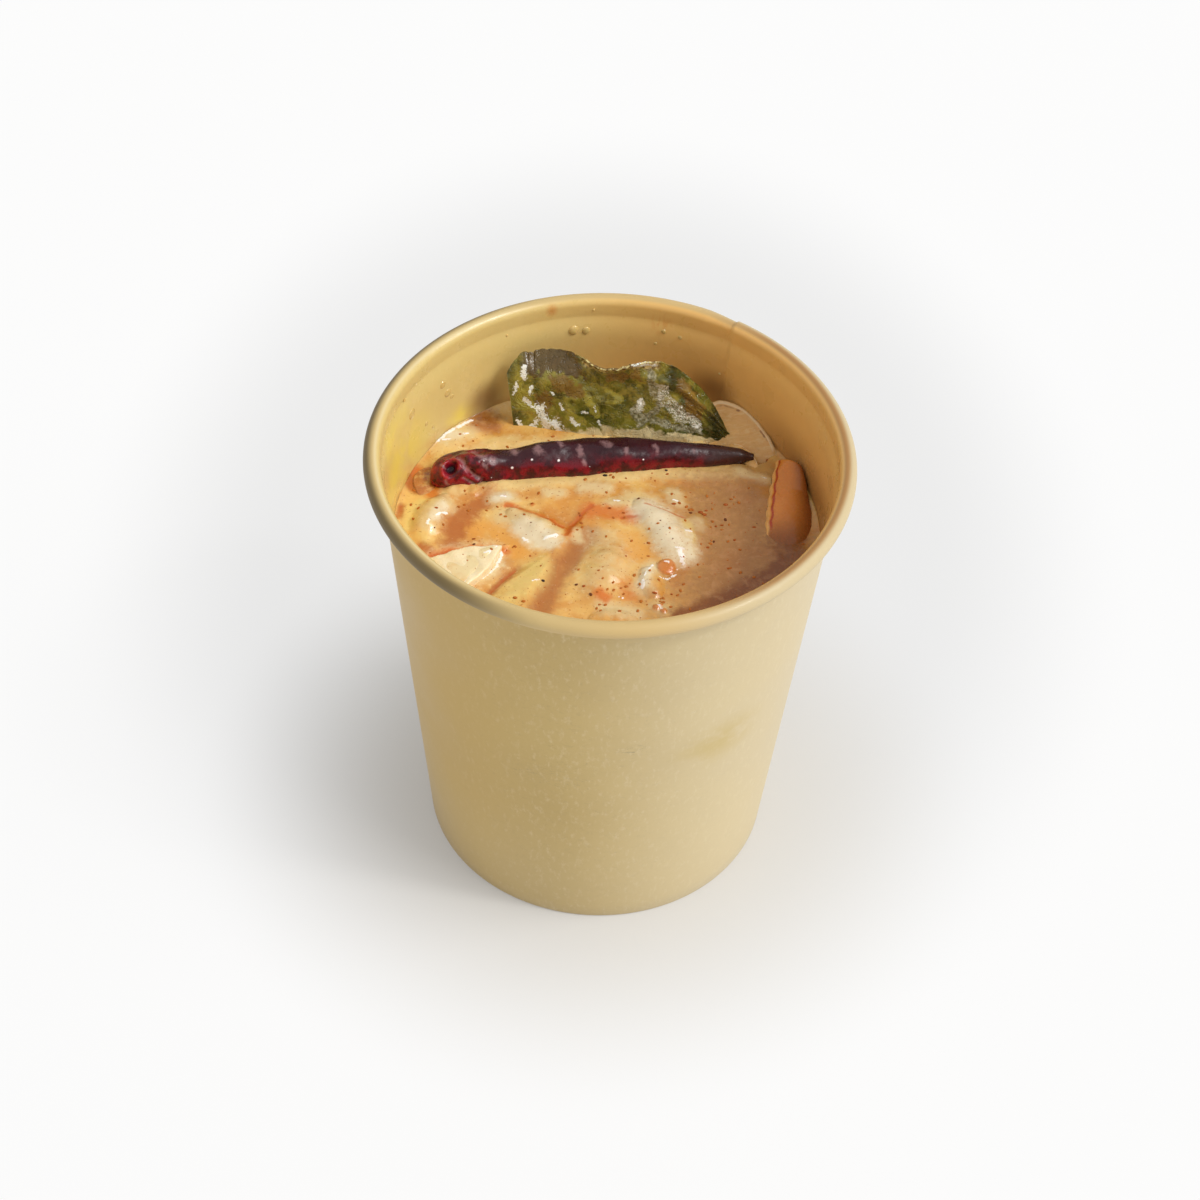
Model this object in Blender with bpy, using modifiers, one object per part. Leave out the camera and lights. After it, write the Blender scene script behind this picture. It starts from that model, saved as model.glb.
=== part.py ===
"""Tom yum soup in a rolled-rim kraft paper cup: the cup, the broth and the pieces standing out of it.

Metres, +Z up. The origin is the centre of the foot, and the lime leaf stands towards +Y.
"""
from math import atan2, cos, exp, hypot, pi, radians, sin

import bmesh
import bpy
from mathutils import Matrix, Vector

MM = 0.001
MODEL = "tom_yum_paper_cup"

# Space left between neighbouring pieces.
CLEARANCE = 0.3 * MM

# Cup wall: one cone of paper, its top rolled outwards and its foot folded inwards.
CUP_HEIGHT = 103.0 * MM
FOOT_RADIUS = 36.6 * MM
WALL_TAPER = 0.093
PAPER = 0.5 * MM
RIM_RADIUS = 49.0 * MM
ROLL_RADIUS = 1.7 * MM
ROLL_SWEEP = 300
ROLL_STEPS = 10
ROLL_INNER_STEPS = 4
CUP_STEPS = 48
FOOT_ROUND = 0.5 * MM
FOLD_HEIGHT = 7.2 * MM
FOLD_FLOOR = 0.9 * MM
SEAM_TOP = CUP_HEIGHT - 3.4 * ROLL_RADIUS

# Side seam: the sheet overlaps itself between two azimuths, in degrees, and eases back past them.
SEAM_OUTER_EDGE = 48.5
SEAM_INNER_EDGE = 58.0
SEAM_FADE = 8.0
SEAM_EDGE_WIDTH = 0.25
SEAM_STEP = 0.35 * MM

# Base: a disc with a flange that hangs between the wall and the folded foot.
BASE_PAPER = 0.45 * MM
BASE_HEIGHT = 8.2 * MM
BASE_BEND = 0.9 * MM
FLANGE_BOTTOM = 1.2 * MM

# Broth.
BROTH_LEVEL = 80.0 * MM
BROTH_EDGE_RISE = 0.5 * MM
BROTH_EDGE_WIDTH = 1.2 * MM
BROTH_SWELL = 0.7 * MM
BROTH_RINGS = 6

# Dried chilli afloat across the back, torn open at its left end.
CHILLI_LEFT = Vector((-37.0, 13.2, 81.2)) * MM
CHILLI_TIP = Vector((30.0, 23.2, 80.9)) * MM
CHILLI_BOW = 2.3 * MM
CHILLI_RADIUS = 4.3 * MM
CHILLI_POINTS = 20
CHILLI_MOUTH = Vector((-32.6, 13.9, 81.4)) * MM
CHILLI_MOUTH_SLANT = 42
CHILLI_PIT = Vector((5.6, 3.1, 3.1)) * MM

# Lime leaf standing behind the chilli and leaning back.
LEAF_LEFT = -22.2 * MM
LEAF_RIGHT = 24.6 * MM
LEAF_Y = 29.0 * MM
LEAF_ROOT = 73.5 * MM
LEAF_ROOT_RISE = 5.4 * MM
LEAF_FOOT_TUCK = 2.4 * MM
LEAF_CREST = 24.6 * MM
LEAF_THICKNESS = 0.7 * MM
LEAF_LEAN = 13
LEAF_COLUMNS = 18
LEAF_ROWS = 7

# Tomato wedge against the right wall: an oval tomato, in millimetres, with its back end lifted in degrees,
# and the planes that cut it: a point of each and the side that goes.
TOMATO_MIDDLE = (38.3, 11.4, 68.0)
TOMATO_RADII = (14.6, 22.0, 14.6, 1.0)
TOMATO_LIFT = 4
TOMATO_CUTS = {
    "inner face": ((33.6, 11.3, 81.6), (-0.72, 0.05, -0.69)),
    "face at the wall": ((39.4, 11.3, 80.0), (0.961, 0.276, -0.09)),
    "front end": ((36.0, 0.8, 80.0), (0.1, -1.0, 0.0)),
    "back end": ((36.0, 21.8, 80.0), (-0.1, 1.0, 0.0)),
}

# Prawn flesh: start and end on the plan, bow, half widths at start, middle and end, height out of the broth.
PRAWNS = {
    "prawn_1": ((6.0, 9.4), (14.9, -10.0), 1.4, (2.6, 5.2, 4.2), 1.7),
    "prawn_2": ((1.8, -2.8), (-3.6, -21.2), 0.8, (4.8, 6.2, 5.4), 1.5),
    "prawn_3": ((-20.4, 4.8), (-9.2, -5.4), 0.8, (2.0, 4.1, 3.8), 1.5),
    "prawn_4": ((-37.6, -5.6), (-33.0, 8.4), 0.8, (3.2, 3.9, 3.0), 1.6),
    "prawn_5": ((8.0, -10.6), (10.2, -18.6), 0.3, (2.0, 2.5, 2.2), 1.2),
    "prawn_6": ((-3.0, -25.0), (7.0, -25.4), 0.4, (2.1, 2.7, 2.3), 1.1),
}

# Flat mushroom pieces: their three upper corners in turn, each with its own height.
MUSHROOM_THICKNESS = 3.4 * MM
MUSHROOM_CORNER = 2.6 * MM
MUSHROOMS = {
    "mushroom_slice_1": ((-20.4, -6.0, 82.2), (-36.6, -10.4, 80.6), (-28.6, -19.6, 81.8)),
    "mushroom_slice_2": ((-10.8, -9.6, 81.6), (-23.0, -22.4, 81.2), (-11.8, -26.0, 80.6)),
}

# Thin oval pieces against the wall: radius, azimuth and height of the middle, half width up the slope,
# half width along the wall, thickness, slope and roll in degrees, finish.
SLICES = {
    "galangal_slice_1": (37.7, 48.5, 77.5, 6.0, 11.2, 1.1, 35, 5, "galangal_flesh"),
    "galangal_slice_2": (35.1, 40.5, 77.4, 5.0, 6.0, 1.1, 35, 4, "galangal_fibre"),
    "chilli_flap": (40.8, 162.5, 80.2, 2.0, 3.6, 0.9, 9, 0, "torn_chilli_skin"),
}

# Colour as sRGB, roughness, coat.
FINISHES = {
    "kraft_paper": ((196, 172, 130), 0.62, 0.0),
    "kraft_base": ((188, 160, 116), 0.60, 0.0),
    "creamy_broth": ((224, 176, 118), 0.22, 0.3),
    "chilli_skin": ((92, 18, 30), 0.28, 0.4),
    "torn_chilli_skin": ((176, 96, 48), 0.30, 0.3),
    "leaf_green": ((98, 98, 40), 0.35, 0.3),
    "galangal_flesh": ((205, 150, 105), 0.40, 0.2),
    "galangal_fibre": ((216, 178, 132), 0.40, 0.2),
    "tomato_skin": ((206, 108, 52), 0.30, 0.4),
    "prawn_flesh": ((232, 214, 190), 0.30, 0.3),
    "mushroom_flesh": ((236, 220, 186), 0.35, 0.2),
}


def linear(value):
    part = value / 255.0
    return part / 12.92 if part <= 0.04045 else ((part + 0.055) / 1.055) ** 2.4


def finish(name):
    """The material of that name, made on its first use."""
    if name in bpy.data.materials:
        return bpy.data.materials[name]
    rgb, roughness, coat = FINISHES[name]
    color = tuple(linear(value) for value in rgb) + (1.0,)
    material = bpy.data.materials.new(name)
    material.use_nodes = True
    shader = material.node_tree.nodes["Principled BSDF"]
    shader.inputs["Base Color"].default_value = color
    shader.inputs["Roughness"].default_value = roughness
    shader.inputs["Metallic"].default_value = 0.0
    shader.inputs["Coat Weight"].default_value = coat
    material.diffuse_color = color
    return material


def smooth_step(value):
    value = min(max(value, 0.0), 1.0)
    return value * value * (3.0 - 2.0 * value)


def bell(value, centre, width):
    return exp(-(((value - centre) / width) ** 2))


def wall_radius(height):
    return FOOT_RADIUS + WALL_TAPER * height


def add_object(name, mesh, material, where):
    thing = bpy.data.objects.new(name, mesh)
    mesh.materials.append(finish(material))
    where.objects.link(thing)
    return thing


def add_shape(name, shape, material, where):
    """The object made of a finished bmesh."""
    mesh = bpy.data.meshes.new(name)
    shape.to_mesh(mesh)
    shape.free()
    return add_object(name, mesh, material, where)


def shade(thing, sharp):
    thing.data.shade_smooth()
    thing.data.set_sharp_from_angle(angle=radians(sharp))


def bake(thing):
    """Replaces the object by its evaluated mesh, with doubled points welded."""
    graph = bpy.context.evaluated_depsgraph_get()
    mesh = bpy.data.meshes.new_from_object(thing.evaluated_get(graph))
    name, where = thing.name, thing.users_collection[0]
    bpy.data.objects.remove(thing, do_unlink=True)
    shape = bmesh.new()
    shape.from_mesh(mesh)
    bmesh.ops.remove_doubles(shape, verts=shape.verts, dist=0.001 * MM)
    shape.to_mesh(mesh)
    shape.free()
    solid = bpy.data.objects.new(name, mesh)
    where.objects.link(solid)
    return solid


def turned(name, profile, closed, material, where):
    """A profile of (radius, height) turned once round the Z axis."""
    mesh = bpy.data.meshes.new(name)
    edges = [(index, index + 1) for index in range(len(profile) - 1)]
    if closed:
        edges.append((len(profile) - 1, 0))
    mesh.from_pydata([(radius, 0.0, height) for radius, height in profile], edges, [])
    thing = add_object(name, mesh, material, where)
    screw = thing.modifiers.new("turn", "SCREW")
    screw.steps = CUP_STEPS
    screw.render_steps = CUP_STEPS
    screw.use_merge_vertices = True
    screw.merge_threshold = 0.01 * MM
    screw.use_smooth_shade = True
    return thing


def cup_wall_profile():
    """Down the outer side, round the fold, up the inner side and out round the rolled rim."""
    fold = 2.0 * PAPER + BASE_PAPER + 2.0 * CLEARANCE
    roll_r = RIM_RADIUS - ROLL_RADIUS
    roll_z = CUP_HEIGHT - ROLL_RADIUS
    profile = [
        (wall_radius(SEAM_TOP), SEAM_TOP),
        (wall_radius(FOOT_ROUND), FOOT_ROUND),
        (FOOT_RADIUS - 0.3 * FOOT_ROUND, 0.3 * FOOT_ROUND),
        (FOOT_RADIUS - FOOT_ROUND, 0.0),
        (FOOT_RADIUS - fold + FOOT_ROUND, 0.0),
        (FOOT_RADIUS - fold, FOOT_ROUND),
        (wall_radius(FOLD_HEIGHT) - fold, FOLD_HEIGHT),
        (wall_radius(FOLD_HEIGHT) - fold + PAPER, FOLD_HEIGHT),
        (wall_radius(FOLD_FLOOR) - fold + PAPER, FOLD_FLOOR),
        (wall_radius(FOLD_FLOOR) - PAPER, FOLD_FLOOR),
        (wall_radius(FOLD_HEIGHT) - PAPER, FOLD_HEIGHT),
    ]
    for step in range(ROLL_STEPS + 1):
        turn = radians(180 - ROLL_SWEEP * step / ROLL_STEPS)
        profile.append((roll_r + ROLL_RADIUS * cos(turn), roll_z + ROLL_RADIUS * sin(turn)))
    for step in range(ROLL_INNER_STEPS + 1):
        turn = radians(180 - ROLL_SWEEP * (1 - step / ROLL_INNER_STEPS))
        reach = ROLL_RADIUS - PAPER
        profile.append((roll_r + reach * cos(turn), roll_z + reach * sin(turn)))
    return profile


def split_at_azimuth(shape, degrees):
    """Adds a line of points up the wall at that azimuth, on its own side of the cup only."""
    across = Vector((-sin(radians(degrees)), cos(radians(degrees)), 0.0))
    outwards = Vector((cos(radians(degrees)), sin(radians(degrees)), 0.0))
    faces = [face for face in shape.faces if face.calc_center_median().dot(outwards) > 0.5 * FOOT_RADIUS]
    geometry = faces + list({edge for face in faces for edge in face.edges})
    geometry += list({vert for face in faces for vert in face.verts})
    bmesh.ops.bisect_plane(shape, geom=geometry, dist=0.001 * MM, plane_co=(0, 0, 0), plane_no=across)


def press_seam(vert):
    """Steps out the double layer and lets the single sheet beside it ease back."""
    reach = hypot(vert.co.x, vert.co.y)
    azimuth = atan2(vert.co.y, vert.co.x)
    past = (azimuth * 180 / pi - SEAM_INNER_EDGE) / SEAM_FADE
    eased = SEAM_STEP * (1 - past) if 0.01 < past < 1 else 0.0
    doubled = SEAM_OUTER_EDGE - SEAM_INNER_EDGE - 0.01 < past * SEAM_FADE < 0.01
    height = vert.co.z
    if height > CUP_HEIGHT - 3.0 * ROLL_RADIUS:
        roll = Vector((RIM_RADIUS - ROLL_RADIUS, CUP_HEIGHT - ROLL_RADIUS))
        pressed = roll + (Vector((reach, height)) - roll) * (1 - 0.8 * eased / ROLL_RADIUS)
        reach, height = pressed
    elif reach > wall_radius(height) - 0.7 * PAPER:
        reach += SEAM_STEP if doubled else eased
    elif height > 0.9 * FOLD_HEIGHT and reach > wall_radius(height) - 1.5 * PAPER:
        reach += eased
    vert.co = Vector((reach * cos(azimuth), reach * sin(azimuth), height))


def make_cup_wall(where):
    wall = bake(turned("cup_wall", cup_wall_profile(), True, "kraft_paper", where))
    shape = bmesh.new()
    shape.from_mesh(wall.data)
    for degrees in (SEAM_OUTER_EDGE - SEAM_EDGE_WIDTH, SEAM_OUTER_EDGE):
        split_at_azimuth(shape, degrees)
    for degrees in (SEAM_INNER_EDGE, SEAM_INNER_EDGE + SEAM_EDGE_WIDTH):
        split_at_azimuth(shape, degrees)
    for vert in shape.verts:
        press_seam(vert)
    shape.to_mesh(wall.data)
    shape.free()
    shade(wall, 50)


def make_cup_base(where):
    top = BASE_HEIGHT + BASE_PAPER
    out = PAPER + CLEARANCE
    inside = out + BASE_PAPER
    profile = [
        (0.0, top),
        (wall_radius(top) - out - BASE_BEND, top),
        (wall_radius(top) - out - 0.3 * BASE_BEND, top - 0.3 * BASE_BEND),
        (wall_radius(top - BASE_BEND) - out, top - BASE_BEND),
        (wall_radius(FLANGE_BOTTOM) - out, FLANGE_BOTTOM),
        (wall_radius(FLANGE_BOTTOM) - inside, FLANGE_BOTTOM),
        (wall_radius(BASE_HEIGHT) - inside, BASE_HEIGHT - 0.5 * BASE_BEND),
        (wall_radius(BASE_HEIGHT) - inside - BASE_BEND, BASE_HEIGHT),
        (0.0, BASE_HEIGHT),
    ]
    turned("cup_base", profile, False, "kraft_base", where)


def broth_swell(x, y):
    """The broth swells over what lies under it and sinks a little between."""
    over_front = bell(x, -1.0 * MM, 9.0 * MM) * bell(y, -12.0 * MM, 12.0 * MM)
    over_right = bell(x, 12.0 * MM, 6.0 * MM) * bell(y, 0.0, 9.0 * MM)
    over_left = bell(x, -16.0 * MM, 7.0 * MM) * bell(y, -2.0 * MM, 6.0 * MM)
    over_slices = bell(x, 31.0 * MM, 5.0 * MM) * bell(y, 15.0 * MM, 6.0 * MM)
    dip = bell(x, -8.0 * MM, 4.0 * MM) * bell(y, 4.0 * MM, 6.0 * MM)
    return BROTH_SWELL * (over_front + over_right + over_left + over_slices - 0.5 * dip)


def make_broth(where):
    bottom = BASE_HEIGHT + BASE_PAPER + CLEARANCE
    edge = BROTH_LEVEL + BROTH_EDGE_RISE
    gap = PAPER + CLEARANCE
    flat = wall_radius(edge) - gap - BROTH_EDGE_WIDTH
    profile = [(flat * ring / BROTH_RINGS, BROTH_LEVEL) for ring in range(BROTH_RINGS + 1)]
    profile += [(wall_radius(edge) - gap, edge), (wall_radius(bottom) - gap, bottom), (0.0, bottom)]
    broth = bake(turned("broth", profile, False, "creamy_broth", where))
    for vert in broth.data.vertices:
        if abs(vert.co.z - BROTH_LEVEL) < 0.01 * MM:
            vert.co.z += broth_swell(vert.co.x, vert.co.y)
    shade(broth, 40)
    return broth


def chilli_axis(part):
    point = CHILLI_LEFT.lerp(CHILLI_TIP, part)
    point.y += 4.0 * CHILLI_BOW * part * (1.0 - part)
    return point


def chilli_width(part):
    """Plump to half way, pinched near the torn end, then a long taper to a blunt tip."""
    taper = 1.0 - 0.70 * max((part - 0.5) / 0.5, 0.0) ** 1.6
    pinch = 0.17 * bell(part, 0.25, 0.06)
    blunt = 0.3 * smooth_step((part - 0.95) / 0.05)
    return taper * (0.98 - pinch) * (1.0 - blunt)


def wrinkle(part, turn):
    """Shrunken skin: long folds that twist along the pod, deepest at the torn end."""
    depth = 0.03 + 0.07 * bell(part, 0.14, 0.12)
    folds = sin(3.0 * turn + 11.0 * part) + 0.6 * sin(5.0 * turn - 17.0 * part + 1.0)
    dents = 0.05 * sin(31.0 * part) * sin(2.0 * turn + 1.3)
    return 1.0 + depth * folds + dents


def make_chilli_pod(name, where):
    """The whole pod as a tapered tube along a bowed line, then wrinkled."""
    curve = bpy.data.curves.new(name, "CURVE")
    curve.dimensions = "3D"
    curve.bevel_depth = CHILLI_RADIUS
    curve.bevel_resolution = 5
    curve.use_fill_caps = True
    line = curve.splines.new("POLY")
    line.points.add(CHILLI_POINTS - 1)
    for index, point in enumerate(line.points):
        part = index / (CHILLI_POINTS - 1)
        point.co = chilli_axis(part).to_4d()
        point.radius = chilli_width(part)
    pod = bake(add_object(name, curve, "chilli_skin", where))
    span = CHILLI_TIP - CHILLI_LEFT
    for vert in pod.data.vertices:
        part = (vert.co - CHILLI_LEFT).dot(span) / span.length_squared
        centre = chilli_axis(part)
        off = vert.co - centre
        turn = atan2(off.z, off.y)
        vert.co = centre + off * wrinkle(part, turn)
    shade(pod, 70)
    return pod


def add_cut(thing, cutter):
    cut = thing.modifiers.new(cutter.name, "BOOLEAN")
    cut.operation = "DIFFERENCE"
    cut.solver = "EXACT"
    cut.object = cutter


def hide_cutter(cutter):
    cutter.hide_render = True
    cutter.display_type = "WIRE"
    return cutter


def make_chilli(where, cutters):
    """The pod with its left end torn off on a slant and a pit left in it."""
    pod = make_chilli_pod("dried_chilli", where)
    slant = Matrix.Translation(CHILLI_MOUTH) @ Matrix.Rotation(radians(CHILLI_MOUTH_SLANT), 4, "Y")
    shape = bmesh.new()
    block = Matrix.Translation(Vector((-15.0, 0.0, 0.0)) * MM) @ Matrix.Scale(30.0 * MM, 4)
    bmesh.ops.create_cube(shape, size=1.0, matrix=slant @ block)
    add_cut(pod, hide_cutter(add_shape("chilli_end", shape, "chilli_skin", cutters)))
    shape = bmesh.new()
    along = (CHILLI_TIP - CHILLI_LEFT).normalized()
    lie = along.to_track_quat("X", "Z").to_matrix().to_4x4()
    pit = Matrix.Translation(CHILLI_MOUTH) @ lie @ Matrix.Diagonal(CHILLI_PIT.to_4d())
    bmesh.ops.create_uvsphere(shape, u_segments=10, v_segments=8, radius=1.0, matrix=pit)
    add_cut(pod, hide_cutter(add_shape("chilli_pit", shape, "chilli_skin", cutters)))
    return pod


def leaf_root(across):
    """Lower margin: deep in the broth at the left, rising to the surface at the right."""
    return LEAF_ROOT + LEAF_ROOT_RISE * smooth_step((across - 0.52) / 0.3)


def leaf_length(across):
    """Length of the blade up from its lower margin; its crown dips left of the middle."""
    crest = LEAF_CREST + 2.2 * MM * bell(across, 0.63, 0.16) - 0.8 * MM * bell(across, 0.14, 0.14)
    left_end = 5.5 * MM * max(1.0 - across / 0.09, 0.0) ** 2
    right_end = 16.5 * MM * max((across - 0.70) / 0.30, 0.0) ** 2.4
    return crest - left_end - right_end - (leaf_root(across) - LEAF_ROOT)


def leaf_bend(across, up):
    """Angle from upright: the crown curls back at the left and forwards in the middle."""
    curl = 10 + 50 * bell(across, 0.17, 0.15) - 36 * bell(across, 0.52, 0.15)
    return radians(LEAF_LEAN + curl * smooth_step((up - 0.66) / 0.34))


def leaf_point(across, row):
    """A point of the blade, found by walking up from its lower margin."""
    step = leaf_length(across) / LEAF_ROWS
    y = LEAF_Y - 2.0 * MM * sin(pi * across) + 0.9 * MM * sin(2.0 * pi * across + 0.5)
    z = leaf_root(across)
    for index in range(row):
        bend = leaf_bend(across, index / LEAF_ROWS)
        y += step * sin(bend)
        z += step * cos(bend)
    up = row / LEAF_ROWS
    x = LEAF_LEFT + (LEAF_RIGHT - LEAF_LEFT) * across + LEAF_FOOT_TUCK * (1 - across) ** 3 * (1 - up)
    return Vector((x, y + 0.5 * MM * sin(9.0 * across + 5.0 * up) * up, z))


def make_leaf(where):
    """A flat sheet stood up, bent line by line and given its thickness."""
    shape = bmesh.new()
    bmesh.ops.create_grid(shape, x_segments=LEAF_COLUMNS, y_segments=LEAF_ROWS, size=0.5)
    for vert in shape.verts:
        vert.co = leaf_point(vert.co.x + 0.5, round((vert.co.y + 0.5) * LEAF_ROWS))
    leaf = add_shape("lime_leaf", shape, "leaf_green", where)
    thick = leaf.modifiers.new("thickness", "SOLIDIFY")
    thick.thickness = LEAF_THICKNESS
    thick.offset = 0.0
    shade(leaf, 60)
    return leaf


def make_slice(name, where):
    """A thin oval disc that lies on a slope with its upper edge at the wall."""
    reach, azimuth, height, half_up, half_along, thickness, slope, roll, material = SLICES[name]
    turn = Matrix.Rotation(radians(azimuth), 4, "Z") @ Matrix.Rotation(radians(-slope), 4, "Y")
    turn = turn @ Matrix.Rotation(radians(roll), 4, "X")
    middle = Matrix.Rotation(radians(azimuth), 4, "Z") @ Vector((reach, 0.0, height)) * MM
    oval = Matrix.Diagonal(Vector((half_up, half_along, thickness, 1.0 / MM))) * MM
    shape = bmesh.new()
    place = Matrix.Translation(middle) @ turn @ oval
    bmesh.ops.create_cone(
        shape, cap_ends=True, segments=16, radius1=1.0, radius2=1.0, depth=1.0, matrix=place
    )
    oval_slice = add_shape(name, shape, material, where)
    edge = oval_slice.modifiers.new("edge", "BEVEL")
    edge.width = 0.25 * MM
    edge.segments = 1
    edge.limit_method = "ANGLE"
    edge.angle_limit = radians(60)
    shade(oval_slice, 50)
    return oval_slice


def make_tomato(where):
    """What four plane cuts leave of an oval tomato."""
    shape = bmesh.new()
    lie = Matrix.Translation(TOMATO_MIDDLE) @ Matrix.Rotation(radians(TOMATO_LIFT), 4, "X")
    oval = lie @ Matrix.Diagonal(TOMATO_RADII)
    bmesh.ops.create_uvsphere(shape, u_segments=28, v_segments=20, radius=1.0, matrix=oval)
    for point, normal in TOMATO_CUTS.values():
        geometry = shape.verts[:] + shape.edges[:] + shape.faces[:]
        cut = bmesh.ops.bisect_plane(
            shape, geom=geometry, dist=0.001, plane_co=point, plane_no=normal, clear_outer=True
        )
        rim = [item for item in cut["geom_cut"] if isinstance(item, bmesh.types.BMEdge)]
        bmesh.ops.contextual_create(shape, geom=rim)
    bmesh.ops.recalc_face_normals(shape, faces=shape.faces)
    bmesh.ops.transform(shape, matrix=Matrix.Scale(MM, 4), verts=shape.verts)
    wedge = add_shape("tomato_wedge", shape, "tomato_skin", where)
    shade(wedge, 35)
    return wedge


def make_prawn(name, where):
    """A ball drawn out along its bowed line, fuller at its ends and faintly ringed."""
    start, end, bow, widths, proud = PRAWNS[name]
    start, end = Vector(start) * MM, Vector(end) * MM
    span = end - start
    side = Vector((-span.y, span.x)).normalized()
    shape = bmesh.new()
    bmesh.ops.create_uvsphere(shape, u_segments=8, v_segments=9, radius=1.0)
    for vert in shape.verts:
        part = 0.5 * (vert.co.z + 1.0)
        width = (1 - part) ** 2 * widths[0] + part ** 2 * widths[2]
        width += 2.0 * part * (1 - part) * (2.0 * widths[1] - 0.5 * (widths[0] + widths[2]))
        ringed = width * MM * (1.0 + 0.03 * sin(8.0 * pi * part))
        spread = hypot(vert.co.x, vert.co.y)
        fuller = ringed * spread ** -0.35 if spread > 0.01 else 0.0
        middle = start + span * part + side * bow * MM * 4.0 * part * (1 - part)
        middle += side * vert.co.x * fuller
        rise = BROTH_LEVEL + proud * MM - width * MM + vert.co.y * fuller
        vert.co = Vector((middle.x, middle.y, rise))
    prawn = add_shape(name, shape, "prawn_flesh", where)
    shade(prawn, 80)
    return prawn


def make_mushroom(name, where):
    """A three-cornered slab with rounded corners, tilted by the heights of its corners."""
    corners = [Vector(corner) * MM for corner in MUSHROOMS[name]]
    shape = bmesh.new()
    bmesh.ops.create_cone(shape, cap_ends=True, segments=3, radius1=1.0, radius2=1.0, depth=2.0)
    around = sorted(shape.verts, key=lambda vert: (round(atan2(vert.co.y, vert.co.x), 3), vert.co.z))
    for index, vert in enumerate(around):
        lower = index % 2 == 0
        vert.co = corners[index // 2] - Vector((0.0, 0.0, MUSHROOM_THICKNESS if lower else 0.0))
    shape.normal_update()
    upright = [edge for edge in shape.edges if (edge.verts[0].co - edge.verts[1].co).xy.length < 0.01 * MM]
    bmesh.ops.bevel(shape, geom=upright, offset=MUSHROOM_CORNER, segments=4, profile=0.5, affect="EDGES")
    slab = add_shape(name, shape, "mushroom_flesh", where)
    edge = slab.modifiers.new("edge", "BEVEL")
    edge.width = 0.6 * MM
    edge.segments = 2
    edge.limit_method = "ANGLE"
    edge.angle_limit = radians(60)
    shade(slab, 50)
    return slab


def cut_bed(broth, piece, cutters):
    """Cuts the piece's place out of the broth, with the clearance all round."""
    graph = bpy.context.evaluated_depsgraph_get()
    mesh = bpy.data.meshes.new_from_object(piece.evaluated_get(graph))
    bed = bpy.data.objects.new(piece.name + "_bed", mesh)
    cutters.objects.link(bed)
    swell = bed.modifiers.new("clearance", "DISPLACE")
    swell.strength = 1.15 * CLEARANCE
    swell.mid_level = 0.0
    add_cut(broth, hide_cutter(bed))


def main():
    for leftover in list(bpy.data.objects):
        bpy.data.objects.remove(leftover, do_unlink=True)
    where = bpy.data.collections.new(MODEL)
    cutters = bpy.data.collections.new("cutters")
    cutters.hide_render = True
    bpy.context.scene.collection.children.link(where)
    bpy.context.scene.collection.children.link(cutters)

    make_cup_wall(where)
    make_cup_base(where)
    broth = make_broth(where)
    make_chilli(where, cutters)
    in_broth = [make_mushroom(name, where) for name in MUSHROOMS]
    in_broth += [make_prawn(name, where) for name in PRAWNS]
    in_broth.append(make_tomato(where))
    in_broth += [make_slice(name, where) for name in reversed(SLICES)]
    in_broth += [make_leaf(where), hide_cutter(make_chilli_pod("whole_chilli", cutters))]
    for piece in in_broth:
        cut_bed(broth, piece, cutters)


main()
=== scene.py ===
import math
import bmesh
import bpy
import numpy as np
from mathutils import Matrix, Vector


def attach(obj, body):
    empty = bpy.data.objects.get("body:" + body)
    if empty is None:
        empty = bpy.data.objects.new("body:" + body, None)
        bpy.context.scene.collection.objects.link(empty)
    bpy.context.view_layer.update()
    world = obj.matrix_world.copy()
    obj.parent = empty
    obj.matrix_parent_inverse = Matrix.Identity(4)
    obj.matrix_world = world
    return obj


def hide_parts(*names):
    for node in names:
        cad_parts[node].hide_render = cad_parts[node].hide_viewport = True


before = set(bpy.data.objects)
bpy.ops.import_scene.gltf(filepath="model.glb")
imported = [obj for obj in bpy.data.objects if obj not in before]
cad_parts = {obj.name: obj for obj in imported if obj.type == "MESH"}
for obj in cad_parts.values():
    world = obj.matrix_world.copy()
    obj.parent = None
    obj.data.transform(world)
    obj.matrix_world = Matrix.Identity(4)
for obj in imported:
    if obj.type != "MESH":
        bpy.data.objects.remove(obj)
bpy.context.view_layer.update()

# Tom yum soup in its kraft paper cup. Sizes below are in millimetres unless a note says otherwise.
mm = 0.001


def say(text):
    print("scene:", text)


def rgb(red, green, blue):
    # a colour as seen on a screen, made linear
    def part(value):
        value = value / 255
        return value / 12.92 if value <= 0.04045 else ((value + 0.055) / 1.055) ** 2.4
    return (part(red), part(green), part(blue), 1.0)


def lattice(ix, iy, iz, seed):
    # one steady random number for each lattice point
    h = (ix * 374761393 + iy * 668265263 + iz * 2147483647 + seed * 974634777) & 0xFFFFFFFF
    h = ((h ^ (h >> 13)) * 1274126177) & 0xFFFFFFFF
    return ((h ^ (h >> 16)) & 0xFFFF) / 32767.5 - 1.0


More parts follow.
